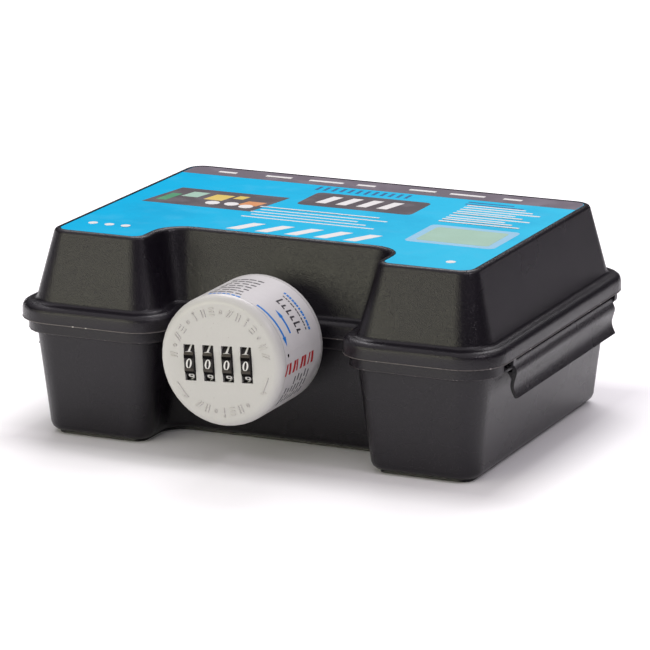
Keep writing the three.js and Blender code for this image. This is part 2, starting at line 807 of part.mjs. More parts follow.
// Code sleeve: a cam with one flat beside the wheel, a round hub in it, a ten-sided key and a spacer tube
function codeSleeve(index) {
  const x = dialPlace(index);
  const camEnd = x - dialWidth / 2 - fitGap;
  const keyEnd = x + dialWidth / 2 - seatGap;
  const flatHalf = Math.sqrt(camRadius * camRadius - camFlat * camFlat);
  const flatTurn = THREE.MathUtils.radToDeg(Math.atan2(flatHalf, camFlat));
  const cam = arc(dialAxisY, dialShiftZ, camRadius, flatTurn, 360 - flatTurn, 13);
  const rod = (radius, x0, x1) => rodX(radius, x0, x1, dialAxisY, dialShiftZ, 12);
  return less(joined([
    extrudeX(cam, camEnd - camWidth, camEnd),
    rod(sleeveRound, camEnd - overlap, keyEnd - hubWidth / 2),
    extrudeX(decagon(hubFlat - seatGap), keyEnd - hubWidth, keyEnd),
    rod(sleeveTube, keyEnd - overlap, x + sleeveReach),
  ]), [rod(sleeveBore, camEnd - camWidth - 1, x + sleeveReach + 1)]);
}

// Shaft: its collar pushes the stack of sleeves when a pin presses the pad on its right end
function dialShaft() {
  const padX = rightCheekX + cheekWall + resetTravel + fitGap;
  const rod = (radius, x0, x1) => rodX(radius, x0, x1, dialAxisY, dialShiftZ);
  return joined([
    rod(shaftRadius, leftCheekX - cheekWall + resetTravel / 3, padX + padThickness / 2),
    rod(sleeveRound, collarX, collarX + collarWidth),
    rod(padRadius, padX, padX + padThickness),
  ]);
}

// Clutch bar: a finger reads each cam, and two dogs drop into the lock ring's notches
function clutchBar() {
  const low = dialShiftZ - barHalfHeight;
  const high = dialShiftZ + barHalfHeight;
  const left = springX.left - springRadius;
  const right = springX.right + springRadius;
  const parts = [block(left, right, barFront, barRear, low, high)];
  for (let i = 0; i < dialCount; i += 1) {
    const x = dialPlace(i) - dialWidth / 2 - fitGap - camWidth / 2;
    const half = camWidth / 2 - seatGap;
    parts.push(block(x - half, x + half, dialAxisY + camRadius + runGap, barFront + overlap, low, high));
  }
  for (const [x0, x1] of [[dogInner, dogOuter], [-dogOuter, -dogInner]]) {
    parts.push(block(x0, x1, barRear - overlap, barRear + dogLength, -dogHalfHeight, dogHalfHeight));
  }
  return joined(parts);
}

// Lock ring: keyed to the neck so that it cannot turn, with notches for the clutch dogs in its face
function lockRing() {
  const bossOuter = neckBore - fitGap;
  const bossRear = capLength - ringSetBack;
  const body = turned([
    [ringInner, discFront], [ringOuter, discFront], [ringOuter, discRear], [bossOuter, discRear],
    [bossOuter, bossRear], [ringInner, bossRear],
  ], 40);
  const keyTip = -neckBore - keyDepth;
  const key = block(-keyHalfWidth, keyHalfWidth, discRear - overlap, bossRear, keyTip, -bossOuter + 1);
  const cuts = [];
  for (let i = 0; i < ringNotches / 2; i += 1) {
    const slot = block(-ringOuter - 1, ringOuter + 1, discFront - 1, discFront + ringNotchDepth,
      -ringNotchHalf, ringNotchHalf);
    cuts.push(slot.rotate([0, (i * 360) / ringNotches - capTurnDegrees, 0]));
  }
  return less(joined([body, key]), cuts);
}

// A round-wire coil as one unbroken tube between two depths, its axis along Y or X
class Coil extends THREE.Curve {
  constructor(radiusStart, radiusEnd, start, end, turns) {
    super();
    Object.assign(this, { radiusStart, radiusEnd, start, end, turns });
  }

  getPoint(t, target = new THREE.Vector3()) {
    const angle = t * this.turns * 2 * Math.PI;
    const radius = lerp(this.radiusStart, this.radiusEnd, t);
    return target.set(radius * Math.cos(angle), lerp(this.start, this.end, t), radius * Math.sin(angle));
  }
}

function coil(radiusStart, radiusEnd, start, end, turns, wire) {
  const section = new THREE.Shape(arc(0, 0, wire, 0, 270, 3).map(([x, y]) => new THREE.Vector2(x, y)));
  const path = new Coil(radiusStart, radiusEnd, start, end, turns);
  const geometry = new THREE.ExtrudeGeometry(section, {
    steps: Math.round(turns * coilSteps), extrudePath: path, bevelEnabled: false,
  });
  return solid(geometry);
}

function clutchSpring(x) {
  const y1 = barFront - fitGap - springWire;
  const body = coil(springRadius, springRadius, springFront + springWire, y1, springTurns, springWire);
  return body.translate([x, 0, dialShiftZ]);
}

// Conical spring between the left cheek and the first cam
function resetSpring() {
  const start = leftCheekX + fitGap + resetWire;
  const end = leftCheekX + resetSpringRoom - fitGap - resetWire;
  const body = coil(resetWide, resetNarrow, start, end, resetTurns, resetWire);
  return body.rotate([0, 0, -90]).translate([0, dialAxisY, dialShiftZ]);
}

// A bent sheet in the Y-Z plane: a line of points given a thickness on its right side
function bentSheet(points, thickness) {
  const far = points.map(([y, z], i) => {
    const [y0, z0] = points[Math.max(i - 1, 0)];
    const [y1, z1] = points[Math.min(i + 1, points.length - 1)];
    const length = Math.hypot(y1 - y0, z1 - z0);
    return [y + (thickness * (z1 - z0)) / length, z - (thickness * (y1 - y0)) / length];
  });
  return [...points, ...far.reverse()];
}

// Comb of spring fingers that bear on the wheels between their ribs
function detentSpring() {
  const low = dialShiftZ + dialRib + carrierRoom - runGap - sheetThickness;
  const reach = dialRib + fingerLift;
  const rear = carrierRear - fitGap;
  const spine = [
    [rear, low], [rear - combWidth - fitGap, low],
    onDial(57, reach + 1), onDial(61.5, reach), onDial(67, reach + 0.1),
  ];
  const half = dialWidth / 2 - fingerSide;
  const left = dialPlace(0) - half;
  const right = dialPlace(dialCount - 1) + half;
  const parts = [block(left, right, rear - combWidth, rear, low, low + sheetThickness)];
  for (let i = 0; i < dialCount; i += 1) {
    parts.push(extrudeX(bentSheet(spine, sheetThickness), dialPlace(i) - half, dialPlace(i) + half));
  }
  return joined(parts);
}

// Assembly
const lockBox = new THREE.Group();
lockBox.add(piece('base_tray', baseTray(), blackPlastic));
lockBox.add(piece('lid_shell', lidShell(), blackPlastic));
lockBox.add(piece('lid_label', lidLabel(), printedBlue));
for (const [name, side] of [['left', -1], ['right', 1]]) {
  lockBox.add(piece(`hinge_pin_${name}`, hingePin(side), steel));
  lockBox.add(piece(`side_latch_${name}`, sideLatch(side), blackPlastic));
}

const cap = new THREE.Group();
cap.position.set(0, capFaceY, capAxisZ);
cap.rotation.y = -radians(capTurnDegrees);
cap.add(piece('cap_shell', capShell(), whitePlastic));
cap.add(piece('cap_wrap_label', capWrapLabel(), printedWhite));
cap.add(piece('thread_insert', threadInsert(), whitePlastic));
cap.add(piece('dial_carrier', dialCarrier(), greyPlastic));
cap.add(piece('detent_spring', detentSpring(), steel));
cap.add(piece('dial_shaft', dialShaft(), steel));
cap.add(piece('clutch_bar', clutchBar(), steel));
cap.add(piece('reset_spring', resetSpring(), steel));
for (let i = 0; i < dialCount; i += 1) {
  cap.add(piece(`dial_wheel_${i + 1}`, dialWheel(i), wheelBlack));
  cap.add(piece(`code_sleeve_${i + 1}`, codeSleeve(i), brass));
}
for (const name of ['left', 'right']) {
  cap.add(piece(`clutch_spring_${name}`, clutchSpring(springX[name]), steel));
}
carrierPosts().forEach(([x, z], i) => {
  const body = screw(x, z, capWall + carrierScrewDepth, earY + earThickness + screwLift);
  cap.add(piece(`carrier_screw_${i + 1}`, body, steel));
});
insertScrewPlaces().forEach(([x, z], i) => {
  const body = screw(x, z, insertFront + insertScrewDepth, insertRear + screwLift);
  cap.add(piece(`insert_screw_${i + 1}`, body, steel));
});
lockBox.add(cap);

// The lock ring keeps the neck's key at the bottom, so it does not share the cap's turn
const ring = new THREE.Group();
ring.position.set(0, capFaceY, capAxisZ);
ring.add(piece('lock_ring', lockRing(), greyPlastic));
lockBox.add(ring);

export default lockBox;
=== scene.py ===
import json
import math
import random

import bmesh
import bpy
from mathutils import Matrix, Vector

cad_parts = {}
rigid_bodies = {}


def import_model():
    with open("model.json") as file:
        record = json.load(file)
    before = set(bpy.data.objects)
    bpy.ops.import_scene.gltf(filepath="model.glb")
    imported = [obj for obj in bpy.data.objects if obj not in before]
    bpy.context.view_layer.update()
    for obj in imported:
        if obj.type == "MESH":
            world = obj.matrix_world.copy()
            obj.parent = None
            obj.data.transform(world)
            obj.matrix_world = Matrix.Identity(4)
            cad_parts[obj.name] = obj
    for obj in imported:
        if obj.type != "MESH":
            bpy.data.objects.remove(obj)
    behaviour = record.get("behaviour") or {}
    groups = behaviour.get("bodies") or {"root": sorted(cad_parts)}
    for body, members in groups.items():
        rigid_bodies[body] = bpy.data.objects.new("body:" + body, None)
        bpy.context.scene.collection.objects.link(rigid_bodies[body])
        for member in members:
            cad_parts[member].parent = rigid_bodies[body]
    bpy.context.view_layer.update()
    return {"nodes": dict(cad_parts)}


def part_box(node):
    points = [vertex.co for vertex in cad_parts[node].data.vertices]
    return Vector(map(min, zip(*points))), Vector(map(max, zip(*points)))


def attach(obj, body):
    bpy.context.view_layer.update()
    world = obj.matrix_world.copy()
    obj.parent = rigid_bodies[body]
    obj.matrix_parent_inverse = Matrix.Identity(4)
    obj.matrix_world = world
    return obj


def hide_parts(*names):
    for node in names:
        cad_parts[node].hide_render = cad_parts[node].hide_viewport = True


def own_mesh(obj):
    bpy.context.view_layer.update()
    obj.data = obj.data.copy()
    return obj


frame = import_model()
nodes = frame["nodes"]

MM = 0.001
QUARTER_TURN = math.radians(90)

# Case and split neck
SEAM_HEIGHT = 53 * MM
NECK_CORE = 18.2 * MM
NECK_BACK = -59.5 * MM
LID_NECK_END = -64.6 * MM
THREAD_PITCH = 4 * MM
THREAD_DEPTH = 0.8 * MM

# Cap: it stands turned a little on its neck
CAP_TURN = math.radians(3.4)
CAP_RADIUS = 28.8 * MM
CAP_AXIS_HEIGHT = 52 * MM
CAP_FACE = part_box("cap_shell")[0].y
INSERT_LOW, INSERT_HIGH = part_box("thread_insert")
INSERT_BORE = 19.3 * MM

# Number wheels
WHEELS = range(1, 5)
WHEEL_AXIS_DEPTH = 9.8 * MM
WHEEL_SHIFT_Z = -0.9 * MM
WHEEL_FACET = 10.8 * MM
FACETS = 10
FACET_STEP = 360 / FACETS

# Labels
LABEL_LOW, LABEL_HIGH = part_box("lid_label")
PRINT_DEPTH = 0.04 * MM


# Modelling helpers

def deselect_all():
    bpy.ops.object.select_all(action="DESELECT")


def take(piece):
    """Makes one piece the only selected and active one."""
    deselect_all()
    piece.select_set(True)
    bpy.context.view_layer.objects.active = piece


def edit(piece, mode, action="DESELECT"):
    take(piece)
    bpy.ops.object.mode_set(mode="EDIT")
    bpy.ops.mesh.select_mode(type=mode)
    bpy.ops.mesh.select_all(action=action)


def end_edit():
    bpy.ops.object.mode_set(mode="OBJECT")


def settle(piece, name):
    """Puts the piece's place into its mesh, so that its object sits at the origin."""
    take(piece)
    bpy.ops.object.transform_apply(location=True, rotation=True, scale=True)
    piece.name = name
    piece.data.name = name
    return piece


def apply_modifier(piece, kind, **values):
    take(piece)
    modifier = piece.modifiers.new(kind.lower(), kind)
    for key, value in values.items():
        setattr(modifier, key, value)
    bpy.ops.object.modifier_apply(modifier=modifier.name)


def merge_points(piece):
    edit(piece, "VERT", "SELECT")
    bpy.ops.mesh.remove_doubles(threshold=1e-6)
    end_edit()


def outward(piece):
    edit(piece, "FACE", "SELECT")
    bpy.ops.mesh.remove_doubles(threshold=1e-7)
    bpy.ops.mesh.normals_make_consistent(inside=False)
    end_edit()


def joined(pieces, name):
    deselect_all()
    for piece in pieces:
        piece.select_set(True)
    bpy.context.view_layer.objects.active = pieces[0]
    if len(pieces) > 1:
        bpy.ops.object.join()
    return settle(bpy.context.view_layer.objects.active, name)


def new_piece(name, mesh):
    piece = bpy.data.objects.new(name, mesh)
    piece.data.name = name
    bpy.context.collection.objects.link(piece)
    return piece


def copied(pattern, name):
    return new_piece(name, pattern.data.copy())


def node_skin(node, name):
    """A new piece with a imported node's shape, its loose triangles merged into one skin."""
    skin = new_piece(name, nodes[node].data.copy())
    merge_points(skin)
    return skin


def placed(piece, matrix):
    """Moves every point of a piece whose object sits at the origin."""
    piece.data.transform(matrix)
    return piece


def finish(piece, body, material, smooth=None):
    piece.data.materials.clear()
    piece.data.materials.append(material)
    if smooth is not None:
        take(piece)
        bpy.ops.object.shade_smooth_by_angle(angle=math.radians(smooth))
    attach(piece, body)


def cut_away(piece, point, normal):
    """Removes what lies past a plane on its normal's side, and closes the cut."""
    edit(piece, "FACE", "SELECT")
    bpy.ops.mesh.bisect(plane_co=point, plane_no=normal, use_fill=True, clear_outer=True)
    end_edit()


def rounded_bar(length, height, width, rounding):
    """A small bar about the origin, rounded on all its edges."""
    bpy.ops.mesh.primitive_cube_add(size=1)
    bar = bpy.context.object
    bar.scale = (length, height, width)
    settle(bar, "bar")
    edit(bar, "EDGE", "SELECT")
    bpy.ops.mesh.bevel(offset=rounding, segments=2)
    end_edit()
    return bar


def cap_place(x=0, depth=0, z=0):
    """Place of a point given about the cap's axis: x along the wheels, depth behind the face."""
    turn = Matrix.Rotation(-CAP_TURN, 4, "Y")
    return Matrix.Translation((0, CAP_FACE, CAP_AXIS_HEIGHT)) @ turn @ Matrix.Translation((x, depth, z))


# Nodes of materials and groups

COLOUR = "NodeSocketColor"
VALUE = "NodeSocketFloat"


def add_node(tree, kind, values=None, **settings):
    """Adds a node, and links or sets its inputs, which are given by name or number."""
    node = tree.nodes.new(kind)
    for key, value in settings.items():
        setattr(node, key, value)
    for key, value in (values or {}).items():
        if isinstance(value, bpy.types.NodeSocket):
            tree.links.new(value, node.inputs[key])
        else:
            node.inputs[key].default_value = value
    return node


def math_node(tree, operation, a, b=0.0, clamp=False):
    return add_node(tree, "ShaderNodeMath", {0: a, 1: b}, operation=operation, use_clamp=clamp).outputs[0]


def vector_node(tree, operation, a, b=(0, 0, 0), result="Vector"):
    return add_node(tree, "ShaderNodeVectorMath", {0: a, 1: b}, operation=operation).outputs[result]


def ranged(tree, value, low, high, to_low, to_high):
    node = add_node(tree, "ShaderNodeMapRange", {
        "Value": value, "From Min": low, "From Max": high, "To Min": to_low, "To Max": to_high})
    return node.outputs["Result"]


def colour_mix(tree, share, first, second):
    return add_node(tree, "ShaderNodeMix", {0: share, 6: first, 7: second}, data_type="RGBA").outputs[2]


def object_place(tree):
    return add_node(tree, "ShaderNodeTexCoord").outputs["Object"]


def noise(tree, place, scale, detail):
    node = add_node(tree, "ShaderNodeTexNoise", {"Vector": place, "Scale": scale, "Detail": detail})
    return node.outputs["Fac"]


def swing(tree, value, amount):
    """A noise value as a swing about zero."""
    return math_node(tree, "MULTIPLY", math_node(tree, "SUBTRACT", value, 0.5), amount)


def per_metre(tree, millimetres):
    """The pattern scale that gives features of a size in millimetres."""
    return math_node(tree, "DIVIDE", 1 / MM, millimetres)


# Surface effects shared by several finishes

def effect_group(name, inputs):
    """A group with named inputs that gives a colour, a roughness and a height."""
    group = bpy.data.node_groups.new(name, "ShaderNodeTree")
    for label, value in inputs.items():
        kind = COLOUR if isinstance(value, tuple) else VALUE
        socket = group.interface.new_socket(label, in_out="INPUT", socket_type=kind)
        socket.default_value = value
    for label, kind in (("Colour", COLOUR), ("Roughness", VALUE), ("Height", VALUE)):
        group.interface.new_socket(label, in_out="OUTPUT", socket_type=kind)
    return group, group.nodes.new("NodeGroupInput").outputs


def end_group(group, colour, rough, height):
    result = group.nodes.new("NodeGroupOutput")
    for label, value in (("Colour", colour), ("Roughness", rough), ("Height", height)):
        group.links.new(value, result.inputs[label])
    return group


SPECKS_TO_GRAINS = 0.7
SPECK_EDGE = (0.12, 0.3)
CLOUD_SCALE = 22.0
CLOUD_GLOSS = 0.14
GRAIN_HEIGHT = 0.6
PIT_HEIGHT = 0.5


def make_moulded_grain():
    """Fine moulded grain: darker and paler spots, tiny pale specks, and a stippled height."""
    group, given = effect_group("moulded_grain", {
        "Colour": (0.05, 0.05, 0.05, 1), "Speck Colour": (0.2, 0.2, 0.2, 1), "Speck Share": 0.1,
        "Grain Size": 0.4, "Unevenness": 0.1, "Roughness": 0.5})
    place = object_place(group)
    scale = per_metre(group, given["Grain Size"])
    grain = noise(group, place, scale, 2.0)
    pits = add_node(group, "ShaderNodeTexVoronoi", {"Vector": place, "Scale": scale}, feature="F1")
    cloud = noise(group, place, CLOUD_SCALE, 3.0)
    speck_scale = math_node(group, "MULTIPLY", scale, SPECKS_TO_GRAINS)
    speck = add_node(group, "ShaderNodeTexVoronoi", {"Vector": place, "Scale": speck_scale}, feature="F1")
    tone = add_node(group, "ShaderNodeSeparateColor", {0: speck.outputs["Color"]}).outputs[0]
    chosen = math_node(group, "LESS_THAN", tone, given["Speck Share"])
    near = ranged(group, speck.outputs["Distance"], *SPECK_EDGE, 1.0, 0.0)
    share = math_node(group, "MULTIPLY", chosen, near, clamp=True)
    spread = swing(group, grain, given["Unevenness"])
    drift = swing(group, cloud, given["Unevenness"])
    level = math_node(group, "ADD", math_node(group, "ADD", spread, drift), 1.0)
    toned = add_node(group, "ShaderNodeVectorMath", {0: given["Colour"], "Scale": level}, operation="SCALE")
    colour = colour_mix(group, share, toned.outputs[0], given["Speck Colour"])
    rough = math_node(group, "ADD", given["Roughness"], swing(group, cloud, CLOUD_GLOSS), clamp=True)
    height = math_node(group, "ADD", math_node(group, "MULTIPLY", grain, GRAIN_HEIGHT),
                       math_node(group, "MULTIPLY", pits.outputs["Distance"], PIT_HEIGHT))
    return end_group(group, colour, rough, height)


SMUDGE_EDGE = (0.5, 0.72)
SCUFF_EDGE = (0.66, 0.74)
SCUFF_TURN = (0.4, 0.2, 0.6)
SCUFF_STRETCH = (1, 14, 1)
SCUFF_SCALE = 90.0
SCUFF_SHARE = 0.6
MARK_DULLING = 0.35


def make_handling_marks():
    """Soft smudges and a few fine scuffs that change the gloss of a smooth surface."""
    group, given = effect_group("handling_marks", {
        "Colour": (0.5, 0.5, 0.5, 1), "Mark Colour": (0.4, 0.4, 0.4, 1), "Amount": 0.3,
        "Roughness": 0.4, "Mark Size": 12.0})
    place = object_place(group)
    smudge = noise(group, place, per_metre(group, given["Mark Size"]), 5.0)
    patch = ranged(group, smudge, *SMUDGE_EDGE, 0.0, 1.0)
    stretch = add_node(group, "ShaderNodeMapping", {
        "Vector": place, "Rotation": SCUFF_TURN, "Scale": SCUFF_STRETCH})
    scuff = ranged(group, noise(group, stretch.outputs[0], SCUFF_SCALE, 2.0), *SCUFF_EDGE, 0.0, 1.0)
    marks = math_node(group, "MAXIMUM", patch, math_node(group, "MULTIPLY", scuff, SCUFF_SHARE))
    share = math_node(group, "MULTIPLY", marks, given["Amount"], clamp=True)
    colour = colour_mix(group, share, given["Colour"], given["Mark Colour"])
    dulling = math_node(group, "MULTIPLY", share, MARK_DULLING)
    rough = math_node(group, "ADD", given["Roughness"], dulling, clamp=True)
    return end_group(group, colour, rough, scuff)


LINE_STRETCH = (1, 0.12, 0.12)
LINE_GLOSS = 0.2
DULL_SCALE = 240.0
DULL_EDGE = (0.45, 0.75)


def make_drawn_metal():
    """Fine lines left by drawing or turning, with a light dulling between them."""
    group, given = effect_group("drawn_metal", {
        "Colour": (0.6, 0.6, 0.6, 1), "Dull Colour": (0.4, 0.4, 0.4, 1), "Line Size": 0.2,
        "Roughness": 0.3})
    place = object_place(group)
    stretch = add_node(group, "ShaderNodeMapping", {"Vector": place, "Scale": LINE_STRETCH})
    lines = noise(group, stretch.outputs[0], per_metre(group, given["Line Size"]), 3.0)
    share = ranged(group, noise(group, place, DULL_SCALE, 3.0), *DULL_EDGE, 0.0, 1.0)
    colour = colour_mix(group, share, given["Colour"], given["Dull Colour"])
    relief = math_node(group, "MULTIPLY", lines, LINE_GLOSS)
    rough = math_node(group, "ADD", given["Roughness"], relief, clamp=True)
    return end_group(group, colour, rough, lines)


MOULDED_GRAIN = make_moulded_grain()
HANDLING_MARKS = make_handling_marks()
DRAWN_METAL = make_drawn_metal()


# Finishes

def srgb(red, green, blue):
    """A screen colour from 0 to 255 as the linear colour that a shader takes."""
    linear = []
    for value in (red, green, blue):
        share = value / 255
        linear.append(share / 12.92 if share <= 0.04045 else ((share + 0.055) / 1.055) ** 2.4)
    return (*linear, 1)


def new_finish(name, metallic=0.0, specular=0.5):
    material = bpy.data.materials.new(name)
    material.use_nodes = True
    tree = material.node_tree
    shader = tree.nodes["Principled BSDF"]
    shader.inputs["Metallic"].default_value = metallic
    shader.inputs["Specular IOR Level"].default_value = specular
    return material, tree, shader


def use_effect(tree, group, values):
    return add_node(tree, "ShaderNodeGroup", values, node_tree=group)


def drive(tree, shader, effect, bump, depth):
    """Lets an effect set the shader's colour, gloss and relief, whose depth is in millimetres."""
    tree.links.new(effect.outputs["Colour"], shader.inputs["Base Color"])
    tree.links.new(effect.outputs["Roughness"], shader.inputs["Roughness"])
    relief = add_node(tree, "ShaderNodeBump", {
        "Height": effect.outputs["Height"], "Strength": bump, "Distance": depth * MM})
    tree.links.new(relief.outputs[0], shader.inputs["Normal"])


def moulded_finish(name, tone, speck, share, grain, uneven, rough, bump, depth=0.1, specular=0.5):
    """Moulded plastic: its tone, its specks and their share, the grain's size, and its gloss and relief."""
    material, tree, shader = new_finish(name, specular=specular)
    effect = use_effect(tree, MOULDED_GRAIN, {
        "Colour": srgb(*tone), "Speck Colour": srgb(*speck), "Speck Share": share,
        "Grain Size": grain, "Unevenness": uneven, "Roughness": rough})
    drive(tree, shader, effect, bump, depth)
    return material


def film_finish(name, tone, worn, amount=0.4, rough=0.42):
    """Printed or plain film: its tone, and the tone of its smudges and scuffs."""
    material, tree, shader = new_finish(name)
    effect = use_effect(tree, HANDLING_MARKS, {
        "Colour": srgb(*tone), "Mark Colour": srgb(*worn), "Amount": amount, "Roughness": rough})
    drive(tree, shader, effect, bump=0.05, depth=0.05)
    return material


def metal_finish(name, tone, dull, line, rough):
    """Drawn or turned metal: its tone, its duller tone, and the size of its lines."""
    material, tree, shader = new_finish(name, metallic=1.0)
    effect = use_effect(tree, DRAWN_METAL, {
        "Colour": srgb(*tone), "Dull Colour": srgb(*dull), "Line Size": line, "Roughness": rough})
    drive(tree, shader, effect, bump=0.12, depth=0.02)
    return material


black_case = moulded_finish(
    "black_case_plastic", (18, 14, 22), (48, 43, 50), share=0.3, grain=0.46, uneven=1.2,
    rough=0.27, bump=0.6, depth=0.24, specular=0.42)
white_cap = moulded_finish(
    "warm_white_cap_plastic", (206, 206, 203), (188, 186, 182), share=0.02, grain=0.7, uneven=0.05,
    rough=0.3, bump=0.06)
# A little greyer than the cap: painted shade on the raised marks
cap_mark_shade_finish = moulded_finish(
    "cap_mark_painted_shade", (202, 200, 198), (186, 183, 180), share=0.1, grain=0.5, uneven=0.1,
    rough=0.4, bump=0.06)
grey_inner = moulded_finish(
    "grey_inner_plastic", (128, 130, 133), (150, 152, 154), share=0.03, grain=0.5, uneven=0.1,
    rough=0.5, bump=0.15)
black_inner = moulded_finish(
    "black_inner_plastic", (18, 18, 19), (60, 60, 62), share=0.03, grain=0.5, uneven=0.3,
    rough=0.5, bump=0.1, specular=0.2)
wheel_black = moulded_finish(
    "wheel_black_plastic", (34, 31, 33), (76, 72, 70), share=0.03, grain=0.3, uneven=0.3,
    rough=0.4, bump=0.08, specular=0.25)
# Brownish strips on the upper face of each wheel rib: painted highlight where light falls on the rib
rib_highlight_finish = moulded_finish(
    "wheel_rib_painted_highlight", (66, 61, 56), (96, 90, 82), share=0.1, grain=0.4, uneven=0.4,
    rough=0.45, bump=0.1, specular=0.25)
# Near-black plastic for strips below the wheel ribs and for a sleeve in the reset hole: painted shade
painted_shade_finish = moulded_finish(
    "painted_shade_plastic", (10, 9, 10), (40, 38, 38), share=0.02, grain=0.3, uneven=0.2,
    rough=0.7, bump=0.05, specular=0.06)
# Trim lines: partly trimmed plastic, partly painted highlight; the pale specks are painted glints
lid_edge_highlight_finish = moulded_finish(
    "lid_edge_painted_highlight", (96, 91, 90), (250, 244, 240), share=0.35, grain=1.6, uneven=1.2,
    rough=0.4, bump=0.3)
base_edge_highlight_finish = moulded_finish(
    "base_edge_painted_highlight", (66, 62, 64), (130, 124, 126), share=0.3, grain=1.1, uneven=0.9,
    rough=0.4, bump=0.3)
wrap_film = film_finish("white_wrap_film", (217, 216, 215), (198, 197, 197), amount=0.35, rough=0.3)
white_ink = film_finish("white_ink", (236, 236, 234), (205, 205, 205), rough=0.45)
red_ink = film_finish("red_ink", (180, 10, 16), (166, 34, 40), rough=0.4)
blue_ink = film_finish("blue_ink", (0, 122, 210), (20, 132, 206), rough=0.4)
black_ink = film_finish("black_ink", (52, 50, 56), (86, 84, 90), rough=0.4)
band_ink = film_finish("band_ink", (106, 97, 109), (124, 115, 127), amount=0.5)
charcoal_ink = film_finish("charcoal_ink", (78, 70, 76), (98, 90, 96), amount=0.5)
pale_green_ink = film_finish("pale_green_ink", (164, 202, 182), (150, 190, 174))
deep_blue_ink = film_finish("deep_blue_ink", (20, 96, 150), (40, 116, 170))
yellow_ink = film_finish("yellow_ink", (226, 200, 96), (210, 190, 110))
orange_ink = film_finish("orange_ink", (222, 150, 92), (206, 150, 108))
green_ink = film_finish("green_ink", (62, 150, 104), (84, 158, 118))
pale_blue_ink = film_finish("pale_blue_ink", (150, 204, 232), (134, 190, 220))
steel = metal_finish("bright_steel", (196, 197, 199), (160, 161, 163), line=0.25, rough=0.24)
spring_steel = metal_finish("spring_steel", (172, 174, 177), (140, 142, 146), line=0.15, rough=0.28)
brass = metal_finish("turned_brass", (206, 172, 104), (166, 134, 82), line=0.25, rough=0.27)

LABEL_LEFT_BLUE = srgb(0, 182, 230)
# The paler blue at the right end paints a hazy reflection
LABEL_RIGHT_SHEEN_BLUE = srgb(60, 198, 235)
LABEL_CLOUD_BLUE = srgb(20, 138, 190)
LABEL_MARK_BLUE = srgb(96, 192, 228)


def blue_label_finish():
    """Printed sky-blue film, paler towards its right end as a painted hazy reflection, with soft darker
    clouds in the print.
    """
    material, tree, shader = new_finish("blue_label_film", specular=0.04)
    place = object_place(tree)
    axes = add_node(tree, "ShaderNodeSeparateXYZ", {0: place})
    across = ranged(tree, axes.outputs["X"], LABEL_LOW.x, LABEL_HIGH.x, 0.0, 1.0)
    blue_with_sheen = colour_mix(tree, across, LABEL_LEFT_BLUE, LABEL_RIGHT_SHEEN_BLUE)
    shade = ranged(tree, noise(tree, place, 26.0, 4.0), 0.5, 0.8, 0.0, 0.35)
    toned = colour_mix(tree, shade, blue_with_sheen, LABEL_CLOUD_BLUE)
    effect = use_effect(tree, HANDLING_MARKS, {
        "Colour": toned, "Mark Colour": LABEL_MARK_BLUE, "Amount": 0.2, "Roughness": 0.42})
    drive(tree, shader, effect, bump=0.04, depth=0.05)
    return material


blue_label = blue_label_finish()

CAD_FINISHES = {
    "base_tray": black_case, "lid_shell": black_case, "side_latch_left": black_case,
    "side_latch_right": black_case, "lid_label": blue_label, "hinge_pin_left": steel,
    "hinge_pin_right": steel, "cap_shell": white_cap, "cap_wrap_label": wrap_film,
    "thread_insert": white_cap, "dial_carrier": black_inner, "detent_spring": spring_steel,
    "dial_shaft": steel, "clutch_bar": steel, "reset_spring": spring_steel,
    "clutch_spring_left": spring_steel, "clutch_spring_right": spring_steel, "lock_ring": grey_inner,
}
SCREW_NODES = [f"carrier_screw_{number}" for number in range(1, 5)]
SCREW_NODES += [f"insert_screw_{number}" for number in range(1, 4)]
for screw_node in SCREW_NODES:
    CAD_FINISHES[screw_node] = steel
for wheel in WHEELS:
    CAD_FINISHES[f"dial_wheel_{wheel}"] = wheel_black
    CAD_FINISHES[f"code_sleeve_{wheel}"] = brass


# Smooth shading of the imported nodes: their triangles are merged, and only real edges stay sharp

SHELLS = ("base_tray", "lid_shell", "cap_shell", "cap_wrap_label", "thread_insert", "lid_label")
SHELL_EDGE = math.radians(50)
PLAIN_EDGE = math.radians(33)


def make_soft_shading():
    tree = bpy.data.node_groups.new("soft_shading", "GeometryNodeTree")
    tree.interface.new_socket("Geometry", in_out="INPUT", socket_type="NodeSocketGeometry")
    limit = tree.interface.new_socket("Sharp Angle", in_out="INPUT", socket_type=VALUE)
    tree.interface.new_socket("Geometry", in_out="OUTPUT", socket_type="NodeSocketGeometry")
    given = tree.nodes.new("NodeGroupInput").outputs
    result = tree.nodes.new("NodeGroupOutput")
    merged = add_node(tree, "GeometryNodeMergeByDistance", {
        "Geometry": given["Geometry"], "Distance": 1e-6})
    smooth = add_node(tree, "GeometryNodeSetShadeSmooth", {
        "Geometry": merged.outputs["Geometry"], "Shade Smooth": True}, domain="FACE")
    angle = tree.nodes.new("GeometryNodeInputMeshEdgeAngle")
    sharp = add_node(tree, "FunctionNodeCompare", {
        0: angle.outputs["Unsigned Angle"], 1: given["Sharp Angle"]},
        data_type="FLOAT", operation="GREATER_THAN")
    crisp = add_node(tree, "GeometryNodeSetShadeSmooth", {
        "Geometry": smooth.outputs["Geometry"], "Selection": sharp.outputs["Result"],
        "Shade Smooth": False}, domain="EDGE")
    tree.links.new(crisp.outputs["Geometry"], result.inputs["Geometry"])
    return tree, limit.identifier


SOFT_SHADING, SHARP_SOCKET = make_soft_shading()


def dress_node(name):
    node = nodes[name]
    node.data.materials.clear()
    node.data.materials.append(CAD_FINISHES[name])
    shading = node.modifiers.new("soft_shading", "NODES")
    shading.node_group = SOFT_SHADING
    shading[SHARP_SOCKET] = SHELL_EDGE if name in SHELLS else PLAIN_EDGE
    weighted = node.modifiers.new("even_normals", "WEIGHTED_NORMAL")
    weighted.keep_sharp = True


